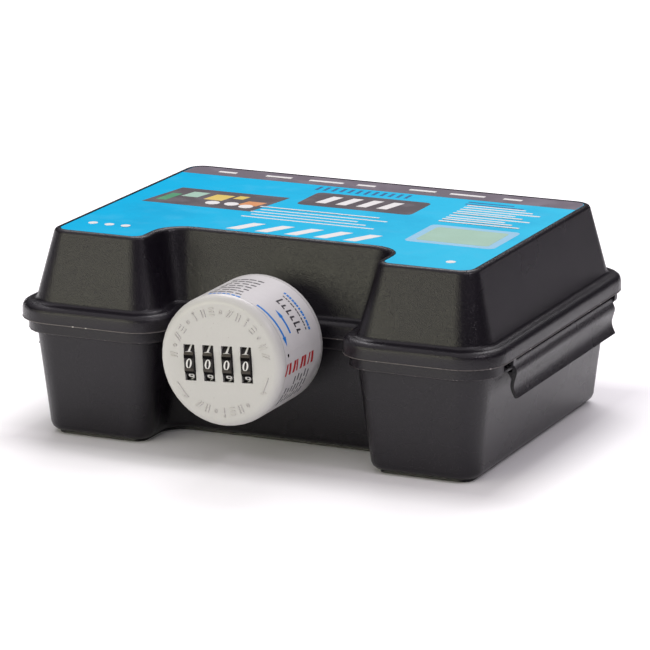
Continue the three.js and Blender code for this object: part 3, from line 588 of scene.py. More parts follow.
for node_name in nodes:
    dress_node(node_name)


# Thin lines of trimmed plastic left along the lid's lower edge and the base's rim band, partly painted
# highlight: they are paler than the case, and their pale specks are painted glints

LID_LINE_RISE = 0.3 * MM
LID_LINE_RADIUS = 0.2 * MM
BASE_LINE_DROP = 4.8 * MM
BASE_LINE_RADIUS = 0.06 * MM


def edge_line(name, node, height, radius, body, material):
    """A thin round line along a shell's outer edge, taken from the shell's own outline at one height."""
    line = node_skin(node, name)
    edit(line, "EDGE", "SELECT")
    bpy.ops.mesh.bisect(plane_co=(0, 0, height), plane_no=(0, 0, 1), clear_inner=True, clear_outer=True)
    bpy.ops.mesh.select_all(action="DESELECT")
    # The frontmost point lies on the outer outline, and only what is joined to it stays
    loops = bmesh.from_edit_mesh(line.data)
    loops.verts.ensure_lookup_table()
    reached = {min(loops.verts, key=lambda v: v.co.y - 0.01 * v.co.x)}
    wave = set(reached)
    while wave:
        wave = {e.other_vert(v) for v in wave for e in v.link_edges} - reached
        reached |= wave
    bmesh.ops.delete(loops, geom=[v for v in loops.verts if v not in reached], context="VERTS")
    bmesh.update_edit_mesh(line.data)
    end_edit()
    take(line)
    bpy.ops.object.convert(target="CURVE")
    line.data.bevel_depth = radius
    line.data.bevel_resolution = 1
    bpy.ops.object.convert(target="MESH")
    outward(line)
    finish(settle(line, name), body, material, smooth=60)


edge_line("lid_trim_highlight_line", "lid_shell", SEAM_HEIGHT + LID_LINE_RISE, LID_LINE_RADIUS, "lid", lid_edge_highlight_finish)
edge_line("base_trim_highlight_line", "base_tray", SEAM_HEIGHT - BASE_LINE_DROP, BASE_LINE_RADIUS, "base", base_edge_highlight_finish)


# Number wheels: one raised print for each wheel, with a number on each of its ten facets

NUMBER_HEIGHT = 4.35 * MM
NUMBER_LEAN = 0.16
NUMBER_WEIGHT = 0.1 * MM
NUMBER_DROP = 0.2 * MM
TEXT_TO_NUMBER = 1.42
ZERO_OVALS = ((0.31, 0.5), (0.135, 0.41))
ONE_OUTLINE = (
    (-0.36, -0.5), (0.36, -0.5), (0.36, -0.42), (0.14, -0.36), (0.11, 0.5), (0.02, 0.5),
    (-0.16, 0.4), (-0.16, 0.32), (-0.06, 0.36), (-0.1, -0.36), (-0.36, -0.42))


def text_number(digit):
    bpy.ops.object.text_add()
    text = bpy.context.object
    text.data.body = str(digit)
    text.data.align_x = "CENTER"
    text.data.align_y = "CENTER"
    text.data.size = NUMBER_HEIGHT * TEXT_TO_NUMBER
    text.data.offset = NUMBER_WEIGHT
    text.data.resolution_u = 4
    take(text)
    bpy.ops.object.convert(target="MESH")
    merge_points(text)
    low = Vector([min(v.co[i] for v in text.data.vertices) for i in range(3)])
    high = Vector([max(v.co[i] for v in text.data.vertices) for i in range(3)])
    return placed(text, Matrix.Translation(-(low + high) / 2))


def oval_zero():
    """A zero with broad sides and a thin top, made of an outer and an inner oval."""
    ovals = []
    for half_width, half_height in ZERO_OVALS:
        bpy.ops.mesh.primitive_circle_add(vertices=40, radius=1, fill_type="NOTHING")
        oval = bpy.context.object
        oval.scale = (half_width * NUMBER_HEIGHT, half_height * NUMBER_HEIGHT, 1)
        ovals.append(settle(oval, "oval"))
    zero = joined(ovals, "zero")
    edit(zero, "EDGE", "SELECT")
    bpy.ops.mesh.bridge_edge_loops()
    end_edit()
    return zero


def flat_outline(points, unit, fill="NGON"):
    """A flat outline, closed by one face unless the fill says otherwise."""
    bpy.ops.mesh.primitive_circle_add(vertices=len(points), radius=unit, fill_type=fill)
    shape = bpy.context.object
    for vertex, (x, y) in zip(shape.data.vertices, points):
        vertex.co = (x * unit, y * unit, 0)
    return shape


def number_outline(digit):
    """A number about the origin; the one has a flag at its top and a foot."""
    if digit == 0:
        number = oval_zero()
    elif digit == 1:
        number = flat_outline(ONE_OUTLINE, NUMBER_HEIGHT)
    else:
        number = text_number(digit)
    return placed(number, Matrix(((1, NUMBER_LEAN, 0, 0), (0, 1, 0, 0), (0, 0, 1, 0), (0, 0, 0, 1))))


def facet_place(digit):
    """Turns a flat number so that it lies on its facet, facing out from the wheels' axis."""
    up = math.radians(FACET_STEP * digit)
    normal = Vector((0, -math.cos(up), math.sin(up)))
    rise = Vector((0, math.sin(up), math.cos(up)))
    turn = Matrix((Vector((1, 0, 0)), rise, normal)).transposed().to_4x4()
    return Matrix.Translation(normal * (WHEEL_FACET + PRINT_DEPTH) - rise * NUMBER_DROP) @ turn


def wheel_numbers():
    prints = [placed(number_outline(digit), facet_place(digit)) for digit in range(FACETS)]
    numbers = joined(prints, "wheel_numbers")
    apply_modifier(numbers, "SOLIDIFY", thickness=1.5 * PRINT_DEPTH, offset=-1)
    return numbers


BAR_LENGTH = 4.3 * MM
BAR_HEIGHT = 0.45 * MM
BAR_WIDTH = 1.35 * MM
BAR_ROUNDING = 0.09 * MM
RIB_TILT = 3.3
RIB_RADIUS = 11.52 * MM
# Place of the near-black strips of painted shade below each rib
RIB_SHADE_TILT = -3.6
RIB_SHADE_RADIUS = 11.46 * MM


def wheel_bars(name, tilt, radius):
    """Ten thin rounded bars across a wheel, each set a few degrees off the joint of two facets."""
    bars = []
    for joint in range(FACETS):
        bar = rounded_bar(BAR_LENGTH, BAR_HEIGHT, BAR_WIDTH, BAR_ROUNDING)
        placed(bar, Matrix.Translation((0, BAR_HEIGHT / 2 - radius, 0)))
        turn = -math.radians(FACET_STEP * (joint + 0.5) + tilt)
        bars.append(placed(bar, Matrix.Rotation(turn, 4, "X")))
    return joined(bars, name)


def dress_wheels():
    """The numbers, the pale strips of painted highlight on the ribs' upper faces and the near-black strips
    of painted shade below the ribs are modelled once and copied onto each wheel.
    """
    patterns = (
        (wheel_numbers(), "numbers", white_ink),
        # Pale strips paint the highlight on each rib; near-black strips paint the shade below it
        (wheel_bars("rib_highlight_strips", RIB_TILT, RIB_RADIUS), "wheel_rib_highlight_strips", rib_highlight_finish),
        (wheel_bars("rib_shade_strips", RIB_SHADE_TILT, RIB_SHADE_RADIUS), "wheel_rib_shade_strips", painted_shade_finish))
    axis = cap_place(0, WHEEL_AXIS_DEPTH, WHEEL_SHIFT_Z).translation
    for number in WHEELS:
        low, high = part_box(f"dial_wheel_{number}")
        along = ((low + high) / 2 - axis).x / math.cos(CAP_TURN)
        for pattern, name, material in patterns:
            piece = copied(pattern, f"{name}_{number}")
            placed(piece, cap_place(along, WHEEL_AXIS_DEPTH, WHEEL_SHIFT_Z))
            finish(piece, f"dial_{number}", material)
    for pattern, _, _ in patterns:
        bpy.data.objects.remove(pattern)


dress_wheels()


# Marks raised on the cap's face: two rows of plain figures and two hooked ticks, a little greyer than the
# face as painted shade on the raised strokes

MARK_HEIGHT = 0.9 * MM
MARK_WIDTH = 0.5 * MM
MARK_RING = 21.8 * MM
MARK_ROUNDING = 0.3
TALL_MARK = 3.6 * MM
SHORT_MARK = 2.4 * MM
PIP_RADIUS = 0.75 * MM
PIP_WIDTH = 0.72


def raised_bar(length, width, turn, radius, lean=0.0):
    """A small raised bar that stands on the cap's face at a clock angle and radius."""
    bar = rounded_bar(length, MARK_HEIGHT, width, min(length, width, MARK_HEIGHT) * MARK_ROUNDING)
    placed(bar, Matrix.Rotation(math.radians(lean), 4, "Y"))
    placed(bar, Matrix.Translation((0, 0, radius)))
    return placed(bar, Matrix.Rotation(math.radians(turn), 4, "Y"))


def raised_ring(size, turn, radius):
    """A small raised ring on the cap's face."""
    bpy.ops.mesh.primitive_torus_add(major_radius=size, minor_radius=MARK_WIDTH / 2, major_segments=24,
                                     minor_segments=6, rotation=(QUARTER_TURN, 0, 0))
    ring = settle(bpy.context.object, "ring")
    placed(ring, Matrix.Diagonal((PIP_WIDTH, 1, 1, 1)))
    placed(ring, Matrix.Translation((0, -MARK_HEIGHT * 0.2, radius)))
    return placed(ring, Matrix.Rotation(math.radians(turn), 4, "Y"))


def upright_pair(turn):
    return [raised_bar(MARK_WIDTH, TALL_MARK, turn + side, MARK_RING) for side in (-1.8, 1.8)]


def slanted_pair(turn):
    return [raised_bar(MARK_WIDTH, TALL_MARK, turn + side, MARK_RING, lean=24) for side in (-1.6, 1.6)]


def pip(turn):
    return [raised_ring(PIP_RADIUS, turn, MARK_RING)]


def stacked_bars(turn):
    return [raised_bar(SHORT_MARK, MARK_WIDTH, turn, MARK_RING + rise * MM) for rise in (-1.5, 0, 1.5)]


def bar_with_pip(turn):
    return [raised_bar(MARK_WIDTH, SHORT_MARK, turn, MARK_RING - 0.6 * MM),
            raised_ring(0.5 * MM, turn, MARK_RING + 1.8 * MM)]


def hooked_tick(turn, way):
    return [raised_bar(8 * MM, MARK_WIDTH, turn, MARK_RING + 0.8 * MM),
            raised_bar(2.6 * MM, MARK_WIDTH, turn + 8 * way, MARK_RING + 1.4 * MM, lean=48 * way)]


UPPER_ROW = (upright_pair, pip, slanted_pair, stacked_bars, pip, bar_with_pip, upright_pair,
             stacked_bars, pip, slanted_pair, upright_pair, bar_with_pip, stacked_bars, pip,
             upright_pair, slanted_pair)
LOWER_ROW = (pip, upright_pair, stacked_bars, bar_with_pip, pip, upright_pair, slanted_pair)


def face_marks():
    """Two rows of figures round the cap's face, by clock angle, and a hooked tick on either side."""
    marks = []
    for row, start, step in ((UPPER_ROW, -84, 11), (LOWER_ROW, 147, 10.5)):
        for place, figure in enumerate(row):
            marks += figure(start + place * step)
    marks += hooked_tick(115, 1) + hooked_tick(-125, -1)
    ring = placed(joined(marks, "cap_face_marks"), cap_place())
    outward(ring)
    finish(ring, "cap", cap_mark_shade_finish, smooth=40)


face_marks()


# Prints on the wrap label: flat shapes laid round the cap, given as degrees from the top and depth

INK_LINE = 1.3 * MM
HEAD_DEGREES = 8
STROKE_NEAR = 98.8
STROKE_FAR = 89


def flat_strip(corners, cuts):
    """A flat four-cornered shape in (degrees, depth) with even cuts along its first direction."""
    bpy.ops.mesh.primitive_grid_add(x_subdivisions=cuts, y_subdivisions=1, size=2)
    strip = bpy.context.object
    a, b, c, d = [Vector(corner) for corner in corners]
    for vertex in strip.data.vertices:
        u = (vertex.co.x + 1) / 2
        v = (vertex.co.y + 1) / 2
        point = (a.lerp(b, u)).lerp(d.lerp(c, u), v)
        vertex.co = (point.x, point.y, 0)
    return strip


def bar_between(turn0, turn1, depth0, depth1):
    return flat_strip([(turn0, depth0), (turn1, depth0), (turn1, depth1), (turn0, depth1)], 3)


def arrow_between(tail, tip, depth, rise=0.0):
    """An arrow round the cap from one angle to another, with a three-cornered head."""
    neck = tip - HEAD_DEGREES if tip > tail else tip + HEAD_DEGREES
    half = INK_LINE / 2
    end = depth + rise
    shaft = flat_strip([(tail, depth - half), (neck, end - half), (neck, end + half),
                        (tail, depth + half)], 12)
    head = flat_strip([(neck, end - 2.2 * half), (tip, end - 0.05 * half), (tip, end + 0.05 * half),
                       (neck, end + 2.2 * half)], 4)
    return [shaft, head]


def dash_row(turn0, turn1, depth, size, count, seed):
    """A row of short dashes of uneven length round the cap, like small print seen from afar."""
    chance = random.Random(seed)
    step = (turn1 - turn0) / count
    return [bar_between(turn0 + i * step, turn0 + (i + chance.uniform(0.6, 0.92)) * step,
                        depth - size / 2, depth + size / 2) for i in range(count)]


def wrap_print(shapes, name, material):
    ink = joined(shapes, name)
    radius = CAP_RADIUS + PRINT_DEPTH
    for vertex in ink.data.vertices:
        turn = math.radians(vertex.co.x) + CAP_TURN
        vertex.co = (radius * math.sin(turn), vertex.co.y, radius * math.cos(turn))
    outward(ink)
    first = ink.data.polygons[0]
    if first.normal.dot(Vector((first.center.x, 0, first.center.z))) < 0:
        ink.data.flip_normals()
    apply_modifier(ink, "SOLIDIFY", thickness=1.6 * PRINT_DEPTH, offset=-1)
    placed(ink, cap_place())
    finish(ink, "cap", material, smooth=30)


def blue_wrap_shapes():
    """Arrows that show which way the cap turns, and two rows of dashes."""
    shapes = arrow_between(30, 74, 6.3 * MM, rise=1.4 * MM) + arrow_between(65.5, 42, 14.3 * MM)
    shapes += dash_row(32, 71, 31.9 * MM, 1.5 * MM, 13, 3)
    shapes += dash_row(-15, 15, 4.9 * MM, INK_LINE, 7, 4)
    return shapes + arrow_between(-40, -72, 10.5 * MM)


def red_wrap_shapes():
    """A row of slanted strokes of uneven slant and width."""
    shapes = []
    for index in range(8):
        depth = (3.6 + index * 3.75) * MM
        lean = (0.6 if index % 2 else 2.0) * MM
        width = (1.9 if index % 3 else 1.3) * MM
        shapes.append(flat_strip([(STROKE_NEAR, depth), (STROKE_FAR, depth + lean),
                                  (STROKE_FAR, depth + lean + width), (STROKE_NEAR, depth + width)], 6))
    return shapes


BLOCK_START = 20.5 * MM
BLOCK_SIZES = (5.6, 3.6, 4.6, 3.6, 5.6, 3.6)
LOW_ROWS = ((112, 134), (114, 131), (104, 132), (103, 133), (105, 131), (102, 132), (104, 130))


def black_wrap_shapes():
    """Rows of dashes on the top, the right side and the hidden side, and a row of footed blocks."""
    shapes = []
    for index in range(7):
        depth = (8.3 + index * 3.8) * MM
        shapes += dash_row(-17 + (index % 3), 15 - (index % 2) * 2, depth, 1.0 * MM, 4, index)
    for index, size in enumerate(BLOCK_SIZES):
        turn = 35 + index * 6
        end = BLOCK_START + size * MM
        shapes.append(flat_strip([(turn, BLOCK_START), (turn + 1.5, BLOCK_START), (turn + 2.4, end),
                                  (turn + 0.9, end)], 3))
        shapes.append(bar_between(turn, turn + 4.2, BLOCK_START, BLOCK_START + 0.9 * MM))
    shapes += dash_row(34, 70, 28.8 * MM, 0.8 * MM, 12, 9)
    for index, (start, end) in enumerate(LOW_ROWS):
        shapes += dash_row(start, end, (9 + index * 3.3) * MM, 0.9 * MM, 3, 40 + index)
    for index in range(9):
        depth = (7.5 + index * 3.2) * MM
        shapes += dash_row(-84, -52 - (index % 3) * 5, depth, 1.0 * MM, 8, 20 + index)
    return shapes


wrap_print(blue_wrap_shapes(), "wrap_blue_prints", blue_ink)
wrap_print(red_wrap_shapes(), "wrap_red_prints", red_ink)
wrap_print(black_wrap_shapes(), "wrap_black_prints", black_ink)


# Prints on the lid's label: plain panels, bars and dots, in millimetres on the lid's top

BAND_DEPTH = 15 * MM
BAND_DASHES = LABEL_HIGH.y / MM - 9


def panel(x0, x1, y0, y1, slant=0.0):
    return [(x0, y0), (x1, y0), (x1 + slant, y1), (x0 + slant, y1)]


def rounded_panel(x0, x1, y0, y1, radius):
    points = []
    for cx, cy, start in ((x1 - radius, y0 + radius, -90), (x1 - radius, y1 - radius, 0),
                          (x0 + radius, y1 - radius, 90), (x0 + radius, y0 + radius, 180)):
        for step in range(5):
            angle = math.radians(start + step * 22.5)
            points.append((cx + radius * math.cos(angle), cy + radius * math.sin(angle)))
    return points


def dots(places, radius):
    return [[(x + radius * math.cos(math.radians(a)), y + radius * math.sin(math.radians(a)))
             for a in range(0, 360, 30)] for x, y in places]


def label_print(outlines, name, material, level):
    """One ink, printed above the inks of lower levels."""
    ink = joined([flat_outline(outline, MM) for outline in outlines], name)
    placed(ink, Matrix.Translation((0, 0, LABEL_HIGH.z + level * PRINT_DEPTH)))
    outward(ink)
    if ink.data.polygons[0].normal.z < 0:
        ink.data.flip_normals()
    apply_modifier(ink, "SOLIDIFY", thickness=level * PRINT_DEPTH * 1.2, offset=-1)
    finish(ink, "lid", material)


def rear_band():
    """A dark band along the label's rear edge, cut from the label's own outline."""
    band = node_skin("lid_label", "label_rear_band")
    cut_away(band, (0, LABEL_HIGH.y - BAND_DEPTH, 0), (0, -1, 0))
    middle = Vector((0, LABEL_HIGH.y, 0))
    inset = Matrix.Diagonal((0.998, 0.998, 1, 1))
    placed(band, Matrix.Translation(middle) @ inset @ Matrix.Translation(-middle))
    placed(band, Matrix.Translation((0, -0.1 * MM, PRINT_DEPTH)))
    finish(band, "lid", band_ink)


def white_label_shapes():
    """Slanted strokes at the front and on the middle panel, rows of lines, dashes on the band, and dots."""
    shapes = [panel(x, x + 6, -40, -26, slant=7) for x in (-30, -16, -2, 12, 26)]
    shapes += [panel(x, x + 5, 22, 36, slant=3) for x in (-15, -5, 5, 15)]
    shapes += [panel(50, 88 - 5 * (i % 3), 10 + i * 4.2, 11.5 + i * 4.2) for i in range(9)]
    shapes += [panel(-34 + 2.5 * (i % 2), 30 - 6 * (i % 3), -16 + i * 5, -14.8 + i * 5) for i in range(5)]
    shapes += [panel(x, x + 9 + 4 * (i % 3), BAND_DASHES, BAND_DASHES + 2.6)
               for i, x in enumerate((-82, -58, -36, -12, 14, 34, 60))]
    shapes += dots([(-88, -54), (-80, -54), (-72, -54), (84, -58)], 2.2)
    return shapes + dots([(-40, 2), (-48, 4), (-57, 3)], 3.4)


def label_prints():
    rear_band()
    middle_panel = rounded_panel(-22, 34, 16, 42, 3)
    left_panel = panel(-88, -34, -6, 26, slant=5)
    label_print([middle_panel, left_panel], "label_charcoal_prints", charcoal_ink, 1)
    right_frame = rounded_panel(50, 92, -30, 4, 3)
    label_print([right_frame], "label_pale_blue_prints", pale_blue_ink, 1)
    ticks = [panel(-26 + 4 * i, -24.4 + 4 * i, 46, 53) for i in range(12)]
    heading_lines = [panel(48, 76, 46, 47.5), panel(48, 70, 50, 51.5)]
    label_print(ticks + heading_lines, "label_deep_blue_prints", deep_blue_ink, 1)
    right_field = rounded_panel(54, 88, -26, 0, 2)
    pale_block = panel(-76, -68, 10, 20, slant=2)
    label_print([right_field, pale_block], "label_pale_green_prints", pale_green_ink, 2)
    yellow_blocks = [panel(-64, -55, 8, 19, slant=2), panel(-52, -47, 14, 20, slant=1)]
    label_print(yellow_blocks, "label_yellow_prints", yellow_ink, 2)
    label_print([panel(-45, -36, 4, 12, slant=2)], "label_orange_prints", orange_ink, 2)
    label_print([panel(-84, -79, 0, 14, slant=2)], "label_green_prints", green_ink, 2)
    label_print(white_label_shapes(), "label_white_prints", white_ink, 3)


label_prints()


# Screw thread on the split neck and in the cap's insert

RIDGE_WIDTH = 2.2 * MM
ROOT_SINK = 0.1 * MM
NECK_END = INSERT_LOW.y + 4.5 * MM
NECK_LEAD = 1.4 * MM
SPLIT_GAP = 0.15 * MM
LID_NECK_LEAD = 0.3 * MM
INSERT_LEAD = 1.5 * MM


def helix(root, crest, start, end, pitch, width):
    """One ridge round the Y axis, from start to end along it."""
    turns = (end - start) / pitch
    steps = round(turns * 40)
    half = width / 2
    corners = ((root, -half), (crest, -0.4 * half), (crest, 0.4 * half), (root, half))
    ridge = flat_outline(corners, 1, fill="NOTHING")
    apply_modifier(ridge, "SCREW", axis="Y", angle=turns * 2 * math.pi, screw_offset=end - start,
                   steps=steps, render_steps=steps)
    edit(ridge, "EDGE", "SELECT")
    bpy.ops.mesh.fill_holes(sides=4)
    end_edit()
    return placed(ridge, Matrix.Translation((0, start, 0)))


def thread_ridge(root, crest, start, end):
    """A ridge round the cap's axis on the helix that the neck and the insert share."""
    ridge = helix(root, crest, start, end, THREAD_PITCH, RIDGE_WIDTH)
    placed(ridge, Matrix.Rotation(start / THREAD_PITCH * 2 * math.pi, 4, "Y"))
    return placed(ridge, Matrix.Translation((0, 0, CAP_AXIS_HEIGHT)))


def neck_thread(name, body, side):
    """The part of the neck's ridge that stands on one half of the case: side is -1 below, 1 above."""
    ridge = thread_ridge(NECK_CORE - ROOT_SINK, NECK_CORE + THREAD_DEPTH, NECK_END + NECK_LEAD,
                         NECK_BACK - THREAD_PITCH / 3)
    outward(ridge)
    cut_away(ridge, (0, 0, SEAM_HEIGHT + side * SPLIT_GAP), (0, 0, -side))
    if side > 0:
        cut_away(ridge, (0, LID_NECK_END + LID_NECK_LEAD, 0), (0, -1, 0))
    finish(settle(ridge, name), body, black_case, smooth=40)


def insert_thread():
    """The insert's ridge, half a pitch off the neck's."""
    shift = THREAD_PITCH / 2
    ridge = thread_ridge(INSERT_BORE + ROOT_SINK, INSERT_BORE - THREAD_DEPTH,
                         INSERT_LOW.y + INSERT_LEAD - shift, INSERT_HIGH.y - INSERT_LEAD - shift)
    placed(ridge, Matrix.Translation((0, shift, 0)))
    outward(ridge)
    finish(settle(ridge, "insert_thread"), "cap", white_cap, smooth=40)


neck_thread("neck_thread_lower", "base", -1)
neck_thread("neck_thread_upper", "lid", 1)
insert_thread()


# Dark sleeve in the cap's reset hole: painted shade inside the hole

SHADE_SLEEVE_RADIUS = 0.79 * MM
SHADE_SLEEVE_LENGTH = 2.2 * MM
SHADE_SLEEVE_WALL = 0.14 * MM
SHADE_SLEEVE_SINK = 0.2 * MM
RESET_DEPTH = 7.4 * MM
RESET_RISE = 2.3 * MM


def reset_hole_bush():
    bpy.ops.mesh.primitive_cylinder_add(vertices=24, radius=SHADE_SLEEVE_RADIUS, depth=SHADE_SLEEVE_LENGTH,
                                        end_fill_type="NOTHING", rotation=(0, QUARTER_TURN, 0))
    shade_sleeve = settle(bpy.context.object, "reset_hole_bush")
    apply_modifier(shade_sleeve, "SOLIDIFY", thickness=SHADE_SLEEVE_WALL, offset=-1)
    placed(shade_sleeve, cap_place(CAP_RADIUS - SHADE_SLEEVE_LENGTH / 2 - SHADE_SLEEVE_SINK, RESET_DEPTH, RESET_RISE))
    outward(shade_sleeve)
    finish(shade_sleeve, "cap", painted_shade_finish, smooth=40)


reset_hole_bush()


# Screws with a cross recess, each in the place of its plain solid

SCREW_RADIUS = 0.9 * MM
SCREW_CORE = 0.68 * MM
SCREW_HEAD = 1.6 * MM
SCREW_HEAD_HEIGHT = 0.8 * MM
SCREW_HEAD_ROUNDING = 0.3 * MM
SCREW_PITCH = 0.8 * MM
SCREW_RIDGE = 0.5 * MM
SCREW_TIP = 0.8 * MM
SCREW_TIP_END = 0.25 * MM
RECESS_SIZE = (1.7 * MM, 0.9 * MM, 0.34 * MM)
JOIN_DEPTH = 0.05 * MM
SCREW_TURN_STEP = 0.37


def screw_head(length):
    """A pan head with a cross recess, at the far end of a screw of this length."""
    bpy.ops.mesh.primitive_cylinder_add(vertices=32, radius=SCREW_HEAD, depth=SCREW_HEAD_HEIGHT,
                                        location=(0, length - SCREW_HEAD_HEIGHT / 2, 0),
                                        rotation=(QUARTER_TURN, 0, 0))
    head = settle(bpy.context.object, "head")
    rim_height = length - 0.01 * MM
    edit(head, "EDGE")
    mesh = bmesh.from_edit_mesh(head.data)
    for edge in mesh.edges:
        edge.select_set(all(vertex.co.y > rim_height for vertex in edge.verts))
    bmesh.update_edit_mesh(head.data)
    bpy.ops.mesh.bevel(offset=SCREW_HEAD_ROUNDING, segments=4)
    end_edit()
    for turn in (0, QUARTER_TURN):
        bpy.ops.mesh.primitive_cube_add(size=1, location=(0, length, 0), rotation=(0, turn, 0))
        slot = bpy.context.object
        slot.scale = RECESS_SIZE
        settle(slot, "slot")
        apply_modifier(head, "BOOLEAN", object=slot, operation="DIFFERENCE", solver="EXACT")
        bpy.data.objects.remove(slot)
    return head


def cross_screw(length):
    """A pan-head screw that stands along Y with its tip at the origin."""
    head = screw_head(length)
    bpy.ops.mesh.primitive_cone_add(vertices=24, radius1=SCREW_CORE, radius2=SCREW_TIP_END,
                                    depth=SCREW_TIP, location=(0, SCREW_TIP / 2, 0),
                                    rotation=(QUARTER_TURN, 0, 0))
    tip = settle(bpy.context.object, "tip")
    shank_start = SCREW_TIP - JOIN_DEPTH
    shank_length = length - SCREW_HEAD_HEIGHT + JOIN_DEPTH - shank_start
    bpy.ops.mesh.primitive_cylinder_add(vertices=24, radius=SCREW_CORE, depth=shank_length,
                                        location=(0, shank_start + shank_length / 2, 0),
                                        rotation=(QUARTER_TURN, 0, 0))
    shank = settle(bpy.context.object, "shank")
    ridge = helix(SCREW_CORE - JOIN_DEPTH, SCREW_RADIUS, 0.7 * MM, length - 2.2 * MM, SCREW_PITCH,
                  SCREW_RIDGE)
    screw = joined([head, shank, tip, ridge], "screw")
    outward(screw)
    return screw


def place_screws():
    """One screw is modelled and copied into each place, and each copy stops at its own angle."""
    low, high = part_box("carrier_screw_1")
    pattern = cross_screw(high.y - low.y)
    for name in SCREW_NODES:
        low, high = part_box(name)
        middle = (low + high) / 2
        screw = copied(pattern, name + "_cross")
        turn = Matrix.Rotation(SCREW_TURN_STEP * len(bpy.data.objects), 4, "Y")
        placed(screw, Matrix.Translation((middle.x, low.y, middle.z)) @ turn)
        finish(screw, "cap", steel, smooth=35)
        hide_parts(name)
    bpy.data.objects.remove(pattern)


place_screws()


# The reset spring, as a coil


def reset_coil():
    """The spring's own wire in one skin."""
    coil = node_skin("reset_spring", "reset_spring_coil")
    finish(coil, "cap", spring_steel, smooth=50)
    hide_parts("reset_spring")
    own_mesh(coil)


reset_coil()


# Floor, lamps and camera

FLOOR_SIZE = 80
PALE_FLOOR = (0.93, 0.925, 0.935, 1)
FLOOR_PAINTED_SHADE = (0.38, 0.365, 0.385, 1)
ASIDE = (0.942, 0.336, 0)
PAINTED_SHADE_SIDE = (0.13, 0.42)
FLOOR_LIFT = 0.3
LIFT_REACH = (-0.002, 0.026)
ROOM_TINT = (1, 0.95, 1, 1)
CEILING_EDGE = (0.48, 0.66)
CEILING_LIGHT = 0.85
WALL_LIGHT = 0.07
STRIP_EDGE = (0.07, 0.12)
STRIP_LIGHT = 0.1
CAMERA_PLACE = (0.73742, -1.65265, 0.51072)
CAMERA_PITCH = 0.2533074
CAMERA_ROLL = 0.00073656
CAMERA_YAW = 0.4196287
CAMERA_LENS = 231.71


def distance_from_box(tree, place):
    """How far a point of the floor lies from the case's outline."""
    low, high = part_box("base_tray")
    middle = (low + high) / 2
    half = (high - low) / 2
    across = vector_node(tree, "SUBTRACT", place, (middle.x, middle.y, 0))
    beyond = vector_node(tree, "SUBTRACT", vector_node(tree, "ABSOLUTE", across), (half.x, half.y, 0))
    return vector_node(tree, "LENGTH", vector_node(tree, "MAXIMUM", beyond), result="Value")


def make_floor():
    """A pale table whose colour darkens softly towards the right of the camera's view, as painted shade,
    and whose white lift fades out near the case, as painted shade round it.
    """
    bpy.ops.mesh.primitive_plane_add(size=FLOOR_SIZE)
    floor = bpy.context.object
    floor.name = "studio_floor"
    material = bpy.data.materials.new("pale_floor")
    material.use_nodes = True
    tree = material.node_tree
    shader = tree.nodes["Principled BSDF"]
    shader.inputs["Roughness"].default_value = 0.85
    shader.inputs["Specular IOR Level"].default_value = 0.1
    place = object_place(tree)
    aside = vector_node(tree, "DOT_PRODUCT", place, ASIDE, result="Value")
    # The floor's colour darkens towards the right of the view: painted shade, so the case's side reflects a
    # dark room
    painted_shade = ranged(tree, aside, *PAINTED_SHADE_SIDE, 0.0, 1.0)
    tree.links.new(colour_mix(tree, painted_shade, PALE_FLOOR, FLOOR_PAINTED_SHADE), shader.inputs["Base Color"])
    path = tree.nodes.new("ShaderNodeLightPath")
    seen = math_node(tree, "MAXIMUM", path.outputs["Is Camera Ray"], path.outputs["Is Glossy Ray"])
    # The white lift fades out near the case, so the floor there is darker: painted shade round the case
    far = ranged(tree, distance_from_box(tree, place), *LIFT_REACH, 0.0, FLOOR_LIFT)
    bright = math_node(tree, "MULTIPLY", far, ranged(tree, painted_shade, 0.0, 1.0, 1.0, 0.0))
    shader.inputs["Emission Color"].default_value = (1, 1, 1, 1)
    tree.links.new(math_node(tree, "MULTIPLY", seen, bright), shader.inputs["Emission Strength"])
    floor.data.materials.append(material)


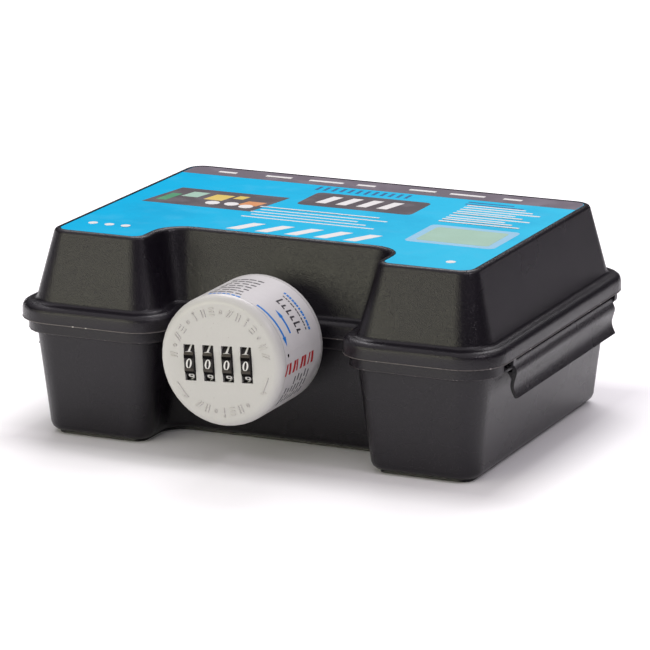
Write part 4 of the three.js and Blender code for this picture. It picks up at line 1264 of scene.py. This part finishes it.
def make_world():
    """A studio room: a bright ceiling, dim walls, and a pale strip where the walls meet the floor."""
    world = bpy.data.worlds.new("studio")
    bpy.context.scene.world = world
    world.use_nodes = True
    tree = world.node_tree
    tree.nodes.clear()
    output = tree.nodes.new("ShaderNodeOutputWorld")
    direction = add_node(tree, "ShaderNodeTexCoord").outputs["Generated"]
    height = add_node(tree, "ShaderNodeSeparateXYZ", {0: direction}).outputs["Z"]
    ceiling = ranged(tree, height, *CEILING_EDGE, 0.0, CEILING_LIGHT - WALL_LIGHT)
    strip = ranged(tree, height, *STRIP_EDGE, STRIP_LIGHT - WALL_LIGHT, 0.0)
    strength = math_node(tree, "ADD", math_node(tree, "ADD", ceiling, strip), WALL_LIGHT)
    dome = add_node(tree, "ShaderNodeBackground", {"Color": ROOM_TINT, "Strength": strength})
    tree.links.new(dome.outputs[0], output.inputs["Surface"])


def lamp(name, place, target, size, power, colour):
    """A rectangular lamp at a place, aimed at a target."""
    data = bpy.data.lights.new(name, "AREA")
    data.shape = "RECTANGLE"
    data.size, data.size_y = size
    data.energy = power
    data.color = colour
    light = bpy.data.objects.new(name, data)
    bpy.context.collection.objects.link(light)
    light.location = place
    aim = Vector(target) - Vector(place)
    light.rotation_euler = aim.to_track_quat("-Z", "Y").to_euler()


def make_camera():
    data = bpy.data.cameras.new("photo_view")
    data.sensor_width = 36
    data.lens = CAMERA_LENS
    data.clip_start = 0.05
    data.clip_end = 50
    camera = bpy.data.objects.new("photo_view", data)
    bpy.context.collection.objects.link(camera)
    camera.location = CAMERA_PLACE
    camera.rotation_euler = (QUARTER_TURN - CAMERA_PITCH, CAMERA_ROLL, CAMERA_YAW)
    bpy.context.scene.camera = camera


make_floor()
make_world()
lamp("front_softbox", place=(-0.68, -1.34, 0.38), target=(0, 0, 0.06), size=(1.3, 0.62), power=7.5,
     colour=(1, 0.985, 0.76))
lamp("right_lamp", place=(1.13, -0.35, 1.07), target=(0, 0, 0.05), size=(0.17, 0.17), power=3.2,
     colour=(1, 0.92, 1))
lamp("rear_softbox", place=(-0.28, 0.9, 1.35), target=(0, 0, 0), size=(1.1, 0.8), power=12.5,
     colour=(1, 0.97, 1))
make_camera()
bpy.context.scene.view_settings.view_transform = "Standard"
